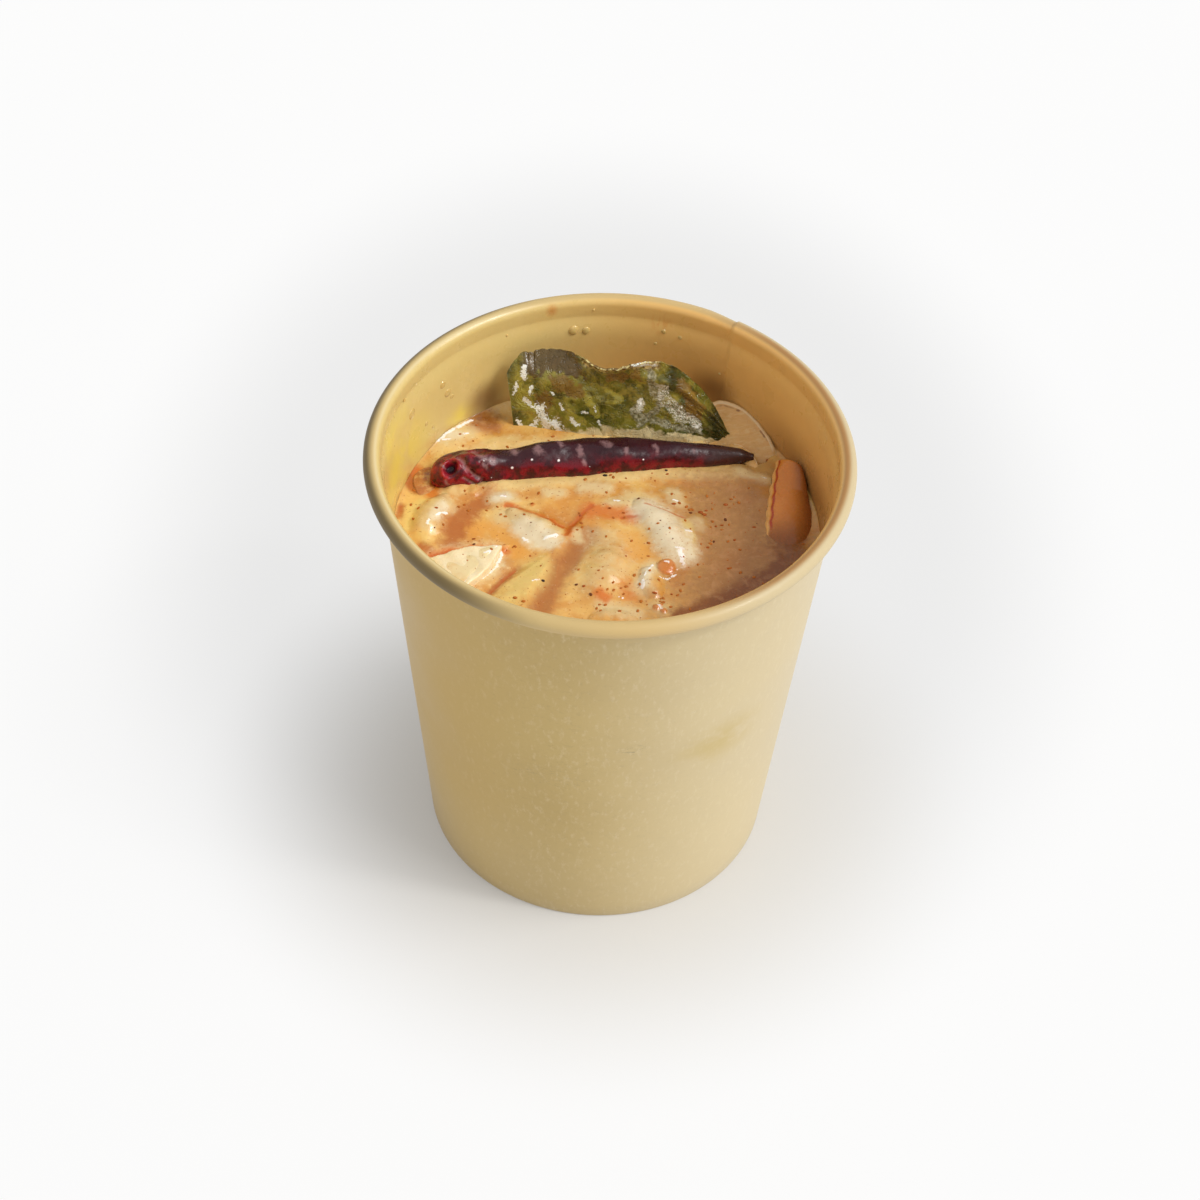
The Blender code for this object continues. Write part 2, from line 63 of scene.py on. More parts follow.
def softNoise(x, y, z=0.0, size=1.0, seed=0, octaves=1):
    # smooth noise between about -1 and 1, with features of the given size
    x, y, z = np.broadcast_arrays(np.asarray(x, float), np.asarray(y, float), np.asarray(z, float))
    total, weight, full = np.zeros(x.shape), 1.0, 0.0
    for octave in range(octaves):
        gx, gy, gz = x / size, y / size, z / size
        ix, iy, iz = (np.floor(p).astype(np.int64) for p in (gx, gy, gz))
        fx, fy, fz = gx - ix, gy - iy, gz - iz
        fx, fy, fz = (f * f * (3 - 2 * f) for f in (fx, fy, fz))
        value = np.zeros(x.shape)
        for dx in (0, 1):
            for dy in (0, 1):
                for dz in (0, 1):
                    share = (fx if dx else 1 - fx) * (fy if dy else 1 - fy) * (fz if dz else 1 - fz)
                    value += share * lattice(ix + dx, iy + dy, iz + dz, seed + 17 * octave)
        total += weight * value
        full += weight
        weight, size = weight * 0.5, size * 0.5
    return total / full


def easeIn(value, low, high):
    t = np.clip((np.asarray(value, float) - low) / (high - low), 0, 1)
    return t * t * (3 - 2 * t)


def bell(value, centre, width):
    return np.exp(-(((np.asarray(value, float) - centre) / width) ** 2))


def smoothMax(a, b, softness):
    return 0.5 * (a + b + np.sqrt((a - b) ** 2 + softness ** 2))


def show(name, data):
    # a new object of this name, in the scene
    piece = bpy.data.objects.new(name, data)
    bpy.context.scene.collection.objects.link(piece)
    return piece


def keepMark(mesh, name, values):
    # a number or a direction kept on each point, for a material or a tree to read
    values = np.asarray(values, np.float32)
    kind, field = ("FLOAT_VECTOR", "vector") if values.ndim == 2 else ("FLOAT", "value")
    mesh.attributes.new(name, kind, "POINT").data.foreach_set(field, values.ravel())


def addPiece(name, points, faces, material, marks=None):
    # a smooth piece; points in millimetres
    mesh = bpy.data.meshes.new(name)
    places = (np.asarray(points, float) * mm).tolist()
    mesh.from_pydata(places, [], [tuple(int(i) for i in f) for f in faces])
    mesh.materials.append(material)
    for key, values in (marks or {}).items():
        keepMark(mesh, key, values)
    mesh.shade_smooth()
    mesh.update()
    return show(name, mesh)


def gridFaces(rows, columns, closed=False, first=0):
    # quads between rows of points; closed joins the last column to the first
    faces = []
    for r in range(rows - 1):
        for c in range(columns if closed else columns - 1):
            d = (c + 1) % columns
            a, b = first + r * columns, first + (r + 1) * columns
            faces.append((a + c, a + d, b + d, b + c))
    return faces


def settle(piece):
    # the piece as its modifiers leave it, as a plain mesh
    shaped = piece.evaluated_get(bpy.context.evaluated_depsgraph_get())
    mesh, name = bpy.data.meshes.new_from_object(shaped), piece.name
    bpy.data.objects.remove(piece, do_unlink=True)
    return show(name, mesh)


def onFrame(piece, slot, *nodes):
    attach(piece, "root")
    if nodes:
        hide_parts(*nodes)


def feed(tree, socket, value):
    # links a value into a socket, or sets it there
    if isinstance(value, bpy.types.NodeSocket):
        tree.links.new(value, socket)
    else:
        socket.default_value = value


def addNode(tree, kind, values=None, **settings):
    node = tree.nodes.new(kind)
    for key, value in settings.items():
        setattr(node, key, value)
    for key, value in (values or {}).items():
        feed(tree, node.inputs[key], value)
    return node


def glowInside(share, *reach):
    # light that enters and spreads: its share, and how far red, green and blue reach
    reach = [part * mm for part in reach]
    return {"Subsurface_Weight": share, "Subsurface_Radius": reach, "Subsurface_Scale": 1.0}


class Paint:
    # a material whose pattern is read in millimetres from the piece's own coordinates

    def __init__(self, name, roughness=0.5, **uniform):
        self.material = bpy.data.materials.new(name)
        self.material.use_nodes = True
        self.tree = self.material.node_tree
        self.shader = self.tree.nodes["Principled BSDF"]
        self.shader.inputs["Roughness"].default_value = roughness
        for key, value in uniform.items():
            self.shader.inputs[key.replace("_", " ")].default_value = value
        place = self.add("TexCoord").outputs["Object"]
        self.spot = self.add("VectorMath", {0: place, "Scale": 1 / mm}, operation="SCALE").outputs[0]

    def add(self, kind, values=None, **settings):
        return addNode(self.tree, "ShaderNode" + kind, values, **settings)

    def calc(self, operation, first, others):
        for other in others:
            first = self.add("Math", {0: first, 1: other}, operation=operation).outputs[0]
        return first

    def times(self, first, *others):
        return self.calc("MULTIPLY", first, others)

    def plus(self, first, *others):
        return self.calc("ADD", first, others)

    def minus(self, first, *others):
        return self.calc("SUBTRACT", first, others)

    def most(self, first, *others):
        return self.calc("MAXIMUM", first, others)

    def gap(self, first, other):
        # how far apart two values are
        return self.calc("ABSOLUTE", self.minus(first, other), [0.0])

    def mark(self, name):
        return self.add("Attribute", attribute_name=name).outputs["Fac"]

    def axis(self, name):
        return self.add("SeparateXYZ", {0: self.spot}).outputs[name]

    def stretched(self, stretch):
        return self.add("VectorMath", {0: self.spot, 1: stretch}, operation="MULTIPLY").outputs[0]

    def length(self, vector):
        return self.add("VectorMath", {0: vector}, operation="LENGTH").outputs["Value"]

    def noise(self, scale, detail=3.0, roughness=0.55, distortion=0.0, stretch=None):
        at = self.stretched(stretch) if stretch else self.spot
        values = {"Vector": at, "Scale": scale, "Detail": detail, "Roughness": roughness}
        return self.add("TexNoise", {**values, "Distortion": distortion}).outputs["Fac"]

    def swing(self, amount, scale, **how):
        # noise to either side of zero
        return self.times(self.minus(self.noise(scale, **how), 0.5), amount)

    def ease(self, value, low, high, start=0.0, end=1.0):
        values = {"Value": value, "From Min": low, "From Max": high, "To Min": start, "To Max": end}
        return self.add("MapRange", values, interpolation_type="SMOOTHSTEP").outputs[0]

    def near(self, centre, radii, inner=0.3):
        # 1 inside an oval ball round a point, 0 outside it
        away = self.add("VectorMath", {0: self.spot, 1: centre}, operation="SUBTRACT").outputs[0]
        away = self.add("VectorMath", {0: away, 1: radii}, operation="DIVIDE").outputs[0]
        return self.ease(self.length(away), inner, 1.0, 1.0, 0.0)

    def mix(self, share, first, second):
        # colours are given as they look on a screen
        first, second = (rgb(*tone) if isinstance(tone, tuple) else tone for tone in (first, second))
        node = self.add("Mix", {0: share, 6: first, 7: second}, data_type="RGBA", blend_type="MIX")
        return node.outputs[2]

    def finish(self, color, roughness=None, height=None, distance=0.1, strength=1.0):
        link = self.tree.links.new
        link(color, self.shader.inputs["Base Color"])
        if roughness is not None:
            link(roughness, self.shader.inputs["Roughness"])
        if height is not None:
            bump = self.add("Bump", {"Height": height, "Distance": distance * mm, "Strength": strength})
            link(bump.outputs[0], self.shader.inputs["Normal"])
        return self.material


def geometryTree(name, inputs):
    # a Geometry Nodes tree with named inputs: name, kind and starting value
    tree = bpy.data.node_groups.new(name, "GeometryNodeTree")
    tree.interface.new_socket("Geometry", in_out="INPUT", socket_type="NodeSocketGeometry")
    for label, kind, value in inputs:
        socket = tree.interface.new_socket(label, in_out="INPUT", socket_type=kind)
        if value is not None:
            socket.default_value = value
    tree.interface.new_socket("Geometry", in_out="OUTPUT", socket_type="NodeSocketGeometry")
    return tree, addNode(tree, "NodeGroupInput").outputs, addNode(tree, "NodeGroupOutput").inputs


def growPiece(name, tree, base, values):
    # runs the tree on a base mesh and keeps the result as a plain mesh
    made = show(name, base)
    grow = made.modifiers.new("grow", "NODES")
    grow.node_group = tree
    inputs = [item for item in tree.interface.items_tree if item.in_out == "INPUT"]
    sockets = {item.name: item.identifier for item in inputs}
    for label, value in values.items():
        grow[sockets[label]] = value
    return settle(made)


def loftPiece(name, rings, material, marks=None):
    # a closed skin over rings of points, with a point at each end; marks are one value for each ring point
    rows, columns, _ = rings.shape
    faces = gridFaces(rows, columns, closed=True)
    first, last = rows * columns, rows * columns + 1
    for c in range(columns):
        d = (c + 1) % columns
        faces.append((first, d, c))
        faces.append((last, (rows - 1) * columns + c, (rows - 1) * columns + d))
    points = np.vstack([rings.reshape(-1, 3), [rings[0].mean(axis=0), rings[-1].mean(axis=0)]])
    kept = {}
    for key, values in (marks or {}).items():
        kept[key] = np.append(values, [values[0].mean(), values[-1].mean()])
    return addPiece(name, points, outwards(points, faces), material, kept)


def outwards(points, faces):
    # turns the faces round where they point inwards
    volume = 0.0
    for size in (3, 4):
        part = np.array([f for f in faces if len(f) == size])
        if len(part):
            a = points[part[:, 0]]
            for i in range(1, size - 1):
                volume += np.einsum("ij,ij->", a, np.cross(points[part[:, i]], points[part[:, i + 1]]))
    return faces if volume >= 0 else [tuple(reversed(f)) for f in faces]


say("tools ready")

# The camera looks down into the cup from the front.
view = {
    "target": (-0.845, 0.0, 59.975),
    "distance": 601.87,
    "height angle": 46.148,
    "roll": 2.44,
    "lens": 86.49,
}


def makeCamera():
    tilt, roll = math.radians(view["height angle"]), math.radians(view["roll"])
    ahead = Vector((0, math.cos(tilt), -math.sin(tilt)))
    right = Vector((1, 0, 0))
    up = right.cross(ahead)
    across = right * math.cos(roll) + up * math.sin(roll)
    upright = up * math.cos(roll) - right * math.sin(roll)
    camera = show("camera", bpy.data.cameras.new("camera"))
    camera.data.lens = view["lens"]
    camera.data.sensor_width = 36.0
    camera.data.clip_start, camera.data.clip_end = 0.01, 20.0
    turn = Matrix((across, upright, -ahead)).transposed().to_4x4()
    place = (Vector(view["target"]) - ahead * view["distance"]) * mm
    camera.matrix_world = Matrix.Translation(place) @ turn
    bpy.context.scene.camera = camera


makeCamera()

light = {
    # compass angle, height angle and width of the source in degrees, strength, colour
    "key": (-15, 48, 38, 1.65, (1.0, 0.99, 0.975)),
    "glint": (-17, 50, 7, 0.62, (1.0, 0.99, 0.975)),
    "sky": (0.97, 0.985, 1.0),
    "sky strength": 0.60,
    "floor": (186, 184, 180),
    "far floor": (80, 80, 80),
    # near the cup, away from it, and the rise outside a wide oval
    "floor glow": (0.175, 0.725, 0.13),
    "floor half side": 3000,
}


def paintFloor():
    # away from the cup the floor glows softly, so that it stays even
    paint = Paint("paleFloor", roughness=0.6, Emission_Color=(1.0, 0.998, 0.994, 1))
    even = paint.ease(paint.length(paint.spot), 38.0, 92.0)
    near, far, halo = light["floor glow"]
    tone = light["floor"]
    color = paint.mix(paint.noise(0.008, detail=2.0), tone, tuple(part + 3 for part in tone))
    color = paint.mix(even, color, light["far floor"])
    outside = paint.minus(1.0, paint.near((0, 80, 0), (131, 168, 400), inner=0.58))
    glow = paint.plus(paint.times(even, far - near), near)
    glow = paint.plus(glow, paint.times(outside, halo))
    paint.tree.links.new(glow, paint.shader.inputs["Emission Strength"])
    return paint.finish(color)


def makeLights():
    scene = bpy.context.scene
    scene.view_settings.view_transform = "Standard"
    for part in ("key", "glint"):
        compass, rise, width, strength, tone = light[part]
        lamp = bpy.data.lights.new(part + "Light", "SUN")
        lamp.energy, lamp.angle, lamp.color = strength, math.radians(width), tone
        compass, rise = math.radians(compass), math.radians(rise)
        flat = math.cos(rise)
        source = Vector((math.cos(compass) * flat, math.sin(compass) * flat, math.sin(rise)))
        holder = show(part + "Light", lamp)
        holder.location = source
        holder.rotation_euler = (-source).to_track_quat("-Z", "Y").to_euler()
    world = bpy.data.worlds.new("sky")
    world.use_nodes = True
    background = world.node_tree.nodes["Background"]
    background.inputs[0].default_value = (*light["sky"], 1)
    background.inputs[1].default_value = light["sky strength"]
    scene.world = world
    side = light["floor half side"]
    corners = [(-side, -side, 0), (side, -side, 0), (side, side, 0), (-side, side, 0)]
    floor = addPiece("floor", corners, [(0, 1, 2, 3)], paintFloor())


makeLights()
say("camera, lights and floor ready")

cup = {
    "height": 103.0, "foot radius": 36.6, "taper": 0.093, "paper": 0.5,
    "rim radius": 49.0, "roll radius": 1.7, "roll sweep": 300,
    "fold height": 7.2, "fold": 2.05, "fold floor": 0.9, "foot round": 0.5, "steps": 720,
    # the side seam: its outer and its inner edge in degrees, how far it fades out, its step
    "seam outer edge": 48.5, "seam inner edge": 58.0, "seam fade": 8.0, "seam step": 0.35,
    # soft spots on the inner side: centre, half sizes, share of them that stays full; the oil spots are
    # stains, the shaded ones are the painted shadow of the leaf
    "oil": [((-43.0, 10.0, 86.0), (13.0, 22.0, 12.0), 0.15), ((-43.0, 9.0, 95.0), (6.0, 11.0, 7.0), 0.2),
            ((-32.0, 30.0, 83.0), (6.0, 6.0, 4.0), 0.1)],
    "shaded": [((-27.0, 34.4, 83.6), (7.0, 6.0, 6.4), 0.1), ((21.0, 38.6, 85.6), (10.0, 6.0, 6.6), 0.0)],
    # painted light and shade on the rolled rim (painted shade and a painted highlight at the left, painted
    # light and shade at the right): from and to radius, from and to across, most of it, colour
    "rim light and shade": [(46.9, 48.4, -10.0, -32.0, 0.92, (106, 87, 48)),
                  (47.2, 46.4, -16.0, -34.0, 0.7, (232, 216, 168)),
                  (46.9, 47.9, 4.0, 34.0, 0.9, (202, 184, 144)),
                  (48.2, 47.0, 14.0, 36.0, 0.85, (164, 112, 56))],
}


def wallRadius(z):
    return cup["foot radius"] + cup["taper"] * z


def paintOutside():
    paint = Paint("kraftOutside", Sheen_Weight=0.12, Sheen_Roughness=0.5, Sheen_Tint=(0.93, 0.97, 1.0, 1))
    across, deep, high = (paint.axis(name) for name in "XYZ")
    cloud = paint.noise(0.03)
    color = paint.mix(paint.ease(cloud, 0.3, 0.7), (187, 157, 88), (196, 167, 100))
    # long pale and dark fibres pressed into the paper
    fibres = paint.noise(0.9, detail=6.0, roughness=0.7, stretch=(1.0, 1.0, 0.5))
    crossed = paint.noise(0.7, detail=5.0, roughness=0.75, distortion=1.2, stretch=(0.7, 0.7, 1.3))
    color = paint.mix(paint.ease(fibres, 0.50, 0.72, 0.0, 0.34), color, (226, 208, 166))
    color = paint.mix(paint.ease(crossed, 0.52, 0.76, 0.0, 0.36), color, (154, 126, 74))
    specks = paint.noise(2.6, detail=2.0, roughness=0.4)
    color = paint.mix(paint.ease(specks, 0.68, 0.8, 0.0, 0.30), color, (136, 110, 70))
    # painted light and shade: paler towards the right, where the lamp and a sheen fall, and yellower at the
    # left, a painted tint of the shaded side; also paler towards the foot
    left = paint.times(paint.ease(across, -6.0, -36.0, 0.0, 0.75), paint.ease(deep, 24.0, -4.0, 0.25, 1.0))
    color = paint.mix(left, color, (190, 152, 62))
    litSlant = paint.minus(across, paint.times(deep, 0.35))
    color = paint.mix(paint.ease(litSlant, 4.0, 40.0, 0.0, 0.5), color, (218, 205, 172))
    color = paint.mix(paint.ease(high, 42.0, 2.0, 0.0, 0.25), color, (216, 196, 152))
    # a smear of grease and some rub marks
    smear = paint.near((24.0, -33.0, 56.0), (15.0, 14.0, 9.5), inner=0.0)
    patchy = paint.noise(0.16, detail=5.0, stretch=(0.7, 0.7, 1.3))
    smear = paint.times(smear, paint.ease(patchy, 0.38, 0.62), 0.62)
    color = paint.mix(smear, color, (190, 162, 82))
    rub = paint.near((-9.0, -40.0, 49.5), (12.0, 10.0, 4.5), inner=0.35)
    rub = paint.most(rub, paint.near((7.4, -41.6, 60.8), (5.0, 5.0, 3.0), inner=0.35))
    lines = paint.noise(0.55, detail=2.0, distortion=0.6, stretch=(0.35, 0.35, 3.4))
    lines = paint.ease(paint.gap(lines, 0.5), 0.0, 0.016, 1.0, 0.0)
    color = paint.mix(paint.times(rub, lines, 0.45), color, (128, 112, 82))
    roughness = paint.ease(cloud, 0.3, 0.7, 0.42, 0.56)
    height = paint.plus(paint.times(fibres, 0.6), paint.times(crossed, 0.4))
    return paint.finish(color, roughness, height, distance=0.04, strength=0.3)


def paintInside():
    paint = Paint("kraftInside", roughness=0.34, Coat_Weight=0.15, Coat_Roughness=0.18)
    across, high = paint.axis("X"), paint.axis("Z")
    color = paint.mix(paint.noise(0.06, detail=4.0), (214, 186, 114), (224, 200, 132))
    fibres = paint.noise(0.8, detail=6.0, roughness=0.7, stretch=(0.8, 0.8, 0.5))
    color = paint.mix(paint.ease(fibres, 0.5, 0.75, 0.0, 0.3), color, (232, 204, 146))
    dark = paint.noise(0.9, detail=5.0, roughness=0.75, distortion=1.0)
    color = paint.mix(paint.ease(dark, 0.56, 0.8, 0.0, 0.35), color, (170, 124, 66))
    # yellow oil that soaked in at the left, and a few orange runs
    patchy = paint.ease(paint.noise(0.12, detail=4.0, distortion=0.5), 0.35, 0.6)
    oil = paint.most(*(paint.near(*spot) for spot in cup["oil"]))
    oil = paint.times(oil, paint.plus(paint.times(patchy, 0.6), 0.3))
    color = paint.mix(oil, color, (232, 208, 96))
    runs = paint.near((9.5, 44.2, 98.5), (3.2, 3.0, 4.6), inner=0.1)
    second = paint.near((15.0, 42.6, 95.5), (4.0, 3.0, 1.8), inner=0.1)
    broken = paint.noise(0.5, stretch=(1.5, 1.5, 0.6))
    runs = paint.times(paint.most(runs, paint.times(second, 0.5)), paint.ease(broken, 0.44, 0.6))
    spot = paint.near((-13.4, 43.5, 101.2), (1.8, 1.8, 2.2), inner=0.1)
    runs = paint.most(runs, paint.times(spot, 0.8))
    color = paint.mix(paint.times(runs, 0.75), color, (196, 116, 40))
    # soup that dried on just above the surface
    dried = paint.ease(paint.noise(0.16, detail=5.0, stretch=(1, 1, 2.2)), 0.38, 0.66)
    low = paint.times(paint.ease(high, 80.3, 84.5, 0.55, 0.0), dried)
    color = paint.mix(low, color, (196, 134, 68))
    # painted light and shade: a warm painted bounce light on the shaded right, a painted shade low over the
    # broth there, and the painted shadow of the leaf
    color = paint.mix(paint.ease(across, -26.0, 22.0, 0.0, 0.72), color, (250, 188, 102))
    paintedLowShade = paint.times(paint.ease(high, 92.0, 82.0, 0.0, 0.6), paint.ease(across, 24.0, 38.0))
    color = paint.mix(paintedLowShade, color, (140, 80, 30))
    leafShadow = paint.most(*(paint.near(*spot) for spot in cup["shaded"]))
    color = paint.mix(paint.times(leafShadow, 0.68), color, (112, 62, 22))
    # the rolled rim is worn pale, with painted light and shade round its flanks
    out = paint.length(paint.stretched((1, 1, 0)))
    curl = paint.times(paint.ease(high, 98.8, 100.2), paint.ease(out, 46.0, 46.8))
    color = paint.mix(paint.times(curl, 0.85), color, (200, 172, 116))
    for near, far, start, end, much, tone in cup["rim light and shade"]:
        rimLightShade = paint.times(paint.ease(out, near, far), paint.ease(across, start, end, 0.0, much), curl)
        color = paint.mix(rimLightShade, color, tone)
    roughness = paint.ease(paint.noise(0.2), 0.3, 0.7, 0.24, 0.44)
    roughness = paint.most(roughness, paint.times(curl, 0.62))
    return paint.finish(color, roughness, paint.plus(fibres, dark), distance=0.04, strength=0.25)


def cupProfile():
    # points down the outer side, round the fold, up the inner side and round the rolled rim: radius, height,
    # shares of the outer wall, of the inner wall and of the roll, and 1 on the coated side
    paper, fold, roll = cup["paper"], cup["fold"], cup["roll radius"]
    rollR, rollZ = cup["rim radius"] - roll, cup["height"] - roll
    top, foot, rise = cup["height"] - 3.4 * roll, cup["foot round"], cup["fold height"]
    edge, floor = cup["foot radius"], cup["fold floor"]
    rows = [(wallRadius(z), z, 1, 0, 0, 0) for z in np.linspace(top, foot, 26)]
    rows += [(edge - foot * (1 - math.cos(a)), foot * (1 - math.sin(a)), 0.5, 0, 0, 0)
             for a in np.linspace(0.2, math.pi / 2, 5)]
    rows += [(edge - fold + foot * (1 - math.sin(a)), foot * (1 - math.cos(a)), 0, 0, 0, 0)
             for a in np.linspace(0, math.pi / 2, 5)]
    folded, lower = wallRadius(rise) - fold, wallRadius(floor)
    rows += [(folded, rise, 0, 0, 0, 0), (folded + paper, rise, 0, 0, 0, 0)]
    rows += [(lower - fold + paper, floor, 0, 0, 0, 1), (lower - paper, floor, 0, 0, 0, 1)]
    rows += [(wallRadius(z) - paper, z, 0, 1, 0, 1) for z in np.linspace(rise, 97.6, 22)]
    rows += [(rollR - roll - 0.02 * k, 98.3 + 0.75 * k, 0, 1 - 0.25 * k, 0.25 * k, 1) for k in (0, 1, 2)]
    for a in np.radians(180 - cup["roll sweep"] * np.linspace(0, 1, 26)):
        rows.append((rollR + roll * math.cos(a), rollZ + roll * math.sin(a), 0, 0, 1, 1))
    reach = roll - paper
    for a in np.radians(180 - cup["roll sweep"] * (1 - np.linspace(0, 1, 14))):
        rows.append((rollR + reach * math.cos(a), rollZ + reach * math.sin(a), 0, 0, 1, 0))
    return np.array(rows, float)


def turnedCupTree():
    # a sheet bent round the axis over the profile's points, with the lapped seam pressed into it
    whole, number, finish = "NodeSocketInt", "NodeSocketFloat", "NodeSocketMaterial"
    tree, given, out = geometryTree("turnedCup", [
        ("Steps", whole, 720), ("Seam Outer Edge", number, 48.5), ("Seam Inner Edge", number, 58.0),
        ("Seam Fade", number, 8.0), ("Seam Step", number, 0.00035), ("Roll Centre Radius", number, 0.0473),
        ("Roll Centre Height", number, 0.1013), ("Roll Radius", number, 0.0017), ("Outside", finish, None),
        ("Inside", finish, None)])

    def add(kind, values=None, **settings):
        return addNode(tree, "GeometryNode" + kind, values, **settings)

    def calc(operation, a, b=0.0, c=0.0):
        return addNode(tree, "ShaderNodeMath", {0: a, 1: b, 2: c}, operation=operation).outputs[0]

    def ramp(value, low, high, start, end):
        values = {"Value": value, "From Min": low, "From Max": high, "To Min": start, "To Max": end}
        return addNode(tree, "ShaderNodeMapRange", values).outputs[0]

    def parts(vector):
        return addNode(tree, "ShaderNodeSeparateXYZ", {0: vector}).outputs

    def sample(value, **settings):
        values = {"Geometry": given["Geometry"], "Value": value, "Index": index}
        return add("SampleIndex", values, **settings).outputs[0]

    def profileMark(name):
        return sample(add("InputNamedAttribute", {"Name": name}).outputs[0])

    count = add("AttributeDomainSize", {0: given["Geometry"]}).outputs["Point Count"]
    sheet = add("MeshGrid", {"Size X": 1.0, "Size Y": 1.0, "Vertices X": calc("ADD", given["Steps"], 1.0),
                             "Vertices Y": calc("ADD", count, 1.0)}).outputs[0]
    position = add("InputPosition").outputs[0]
    place = parts(position)
    index = calc("ROUND", calc("MULTIPLY", calc("ADD", place["Y"], 0.5), count))
    index = calc("FLOORED_MODULO", index, count)
    point = parts(sample(position, data_type="FLOAT_VECTOR"))
    angle = calc("MULTIPLY", calc("ADD", place["X"], 0.5), 360.0)
    # the lap's outer edge is sharp, and its inner edge fades out round the cup
    lap, edge, step = given["Seam Outer Edge"], given["Seam Inner Edge"], given["Seam Step"]
    before = calc("MULTIPLY", ramp(angle, calc("SUBTRACT", lap, 0.6), lap, 0.0, 1.0),
                  ramp(angle, edge, calc("ADD", edge, 0.3), 1.0, 0.0))
    after = calc("MULTIPLY", ramp(angle, edge, calc("ADD", edge, 0.5), 0.0, 1.0),
                 ramp(angle, edge, calc("ADD", edge, given["Seam Fade"]), 1.0, 0.0))
    outer = calc("MULTIPLY", profileMark("outerWall"), calc("ADD", before, after))
    inner = calc("MULTIPLY", profileMark("innerWall"), after)
    stepped = calc("MULTIPLY_ADD", calc("ADD", outer, inner), step, point["X"])
    # the roll is slimmer where the seam runs into it
    drop = calc("DIVIDE", calc("MULTIPLY", calc("MULTIPLY", after, step), 1.1), given["Roll Radius"])
    keep = calc("SUBTRACT", 1.0, calc("MULTIPLY", profileMark("roll"), drop))
    middle, level = given["Roll Centre Radius"], given["Roll Centre Height"]
    radius = calc("MULTIPLY_ADD", calc("SUBTRACT", stepped, middle), keep, middle)
    height = calc("MULTIPLY_ADD", calc("SUBTRACT", point["Z"], level), keep, level)
    turn = calc("RADIANS", angle)
    x, y = calc("MULTIPLY", radius, calc("COSINE", turn)), calc("MULTIPLY", radius, calc("SINE", turn))
    turned = addNode(tree, "ShaderNodeCombineXYZ", {0: x, 1: y, 2: height}).outputs[0]
    marked = add("StoreNamedAttribute", {"Geometry": sheet, "Name": "coated", "Value": profileMark("coated")},
                 data_type="FLOAT", domain="POINT").outputs[0]
    moved = add("SetPosition", {"Geometry": marked, "Position": turned}).outputs[0]
    joined = add("MergeByDistance", {"Geometry": moved, "Distance": 0.000002}).outputs[0]
    dressed = add("SetMaterial", {"Geometry": joined, "Material": given["Outside"]}).outputs[0]
    coated = add("InputNamedAttribute", {"Name": "coated"}).outputs[0]
    chosen = addNode(tree, "FunctionNodeCompare", {0: coated, 1: 0.5}, operation="GREATER_THAN").outputs[0]
    lined = add("SetMaterial", {"Geometry": dressed, "Selection": chosen, "Material": given["Inside"]})
    real = add("RealizeInstances", {0: lined.outputs[0]})
    tree.links.new(real.outputs[0], out["Geometry"])
    return tree


def makeCup():
    rows, roll = cupProfile(), cup["roll radius"]
    base = bpy.data.meshes.new("cupProfile")
    base.from_pydata([(r * mm, 0, z * mm) for r, z in rows[:, :2]], [], [])
    for column, name in ((2, "outerWall"), (3, "innerWall"), (4, "roll"), (5, "coated")):
        keepMark(base, name, rows[:, column])
    shell = growPiece("paperCup", turnedCupTree(), base, {
        "Steps": cup["steps"], "Seam Fade": cup["seam fade"], "Seam Step": cup["seam step"] * mm,
        "Seam Outer Edge": cup["seam outer edge"], "Seam Inner Edge": cup["seam inner edge"],
        "Roll Centre Radius": (cup["rim radius"] - roll) * mm, "Roll Radius": roll * mm,
        "Roll Centre Height": (cup["height"] - roll) * mm,
        "Outside": paintOutside(), "Inside": paintInside()})
    # faces turned outwards
    shape = bmesh.new()
    shape.from_mesh(shell.data)
    if shape.calc_volume(signed=True) < 0:
        bmesh.ops.reverse_faces(shape, faces=shape.faces)
    shape.to_mesh(shell.data)
    shape.free()
    shell.data.shade_smooth()
    shell.data.set_sharp_from_angle(angle=math.radians(50))
    onFrame(shell, "kraft_paper", "cup_wall")


makeCup()
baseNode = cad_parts["cup_base"]
for slot in baseNode.material_slots:
    slot.material = paintOutside()
say("cup ready")

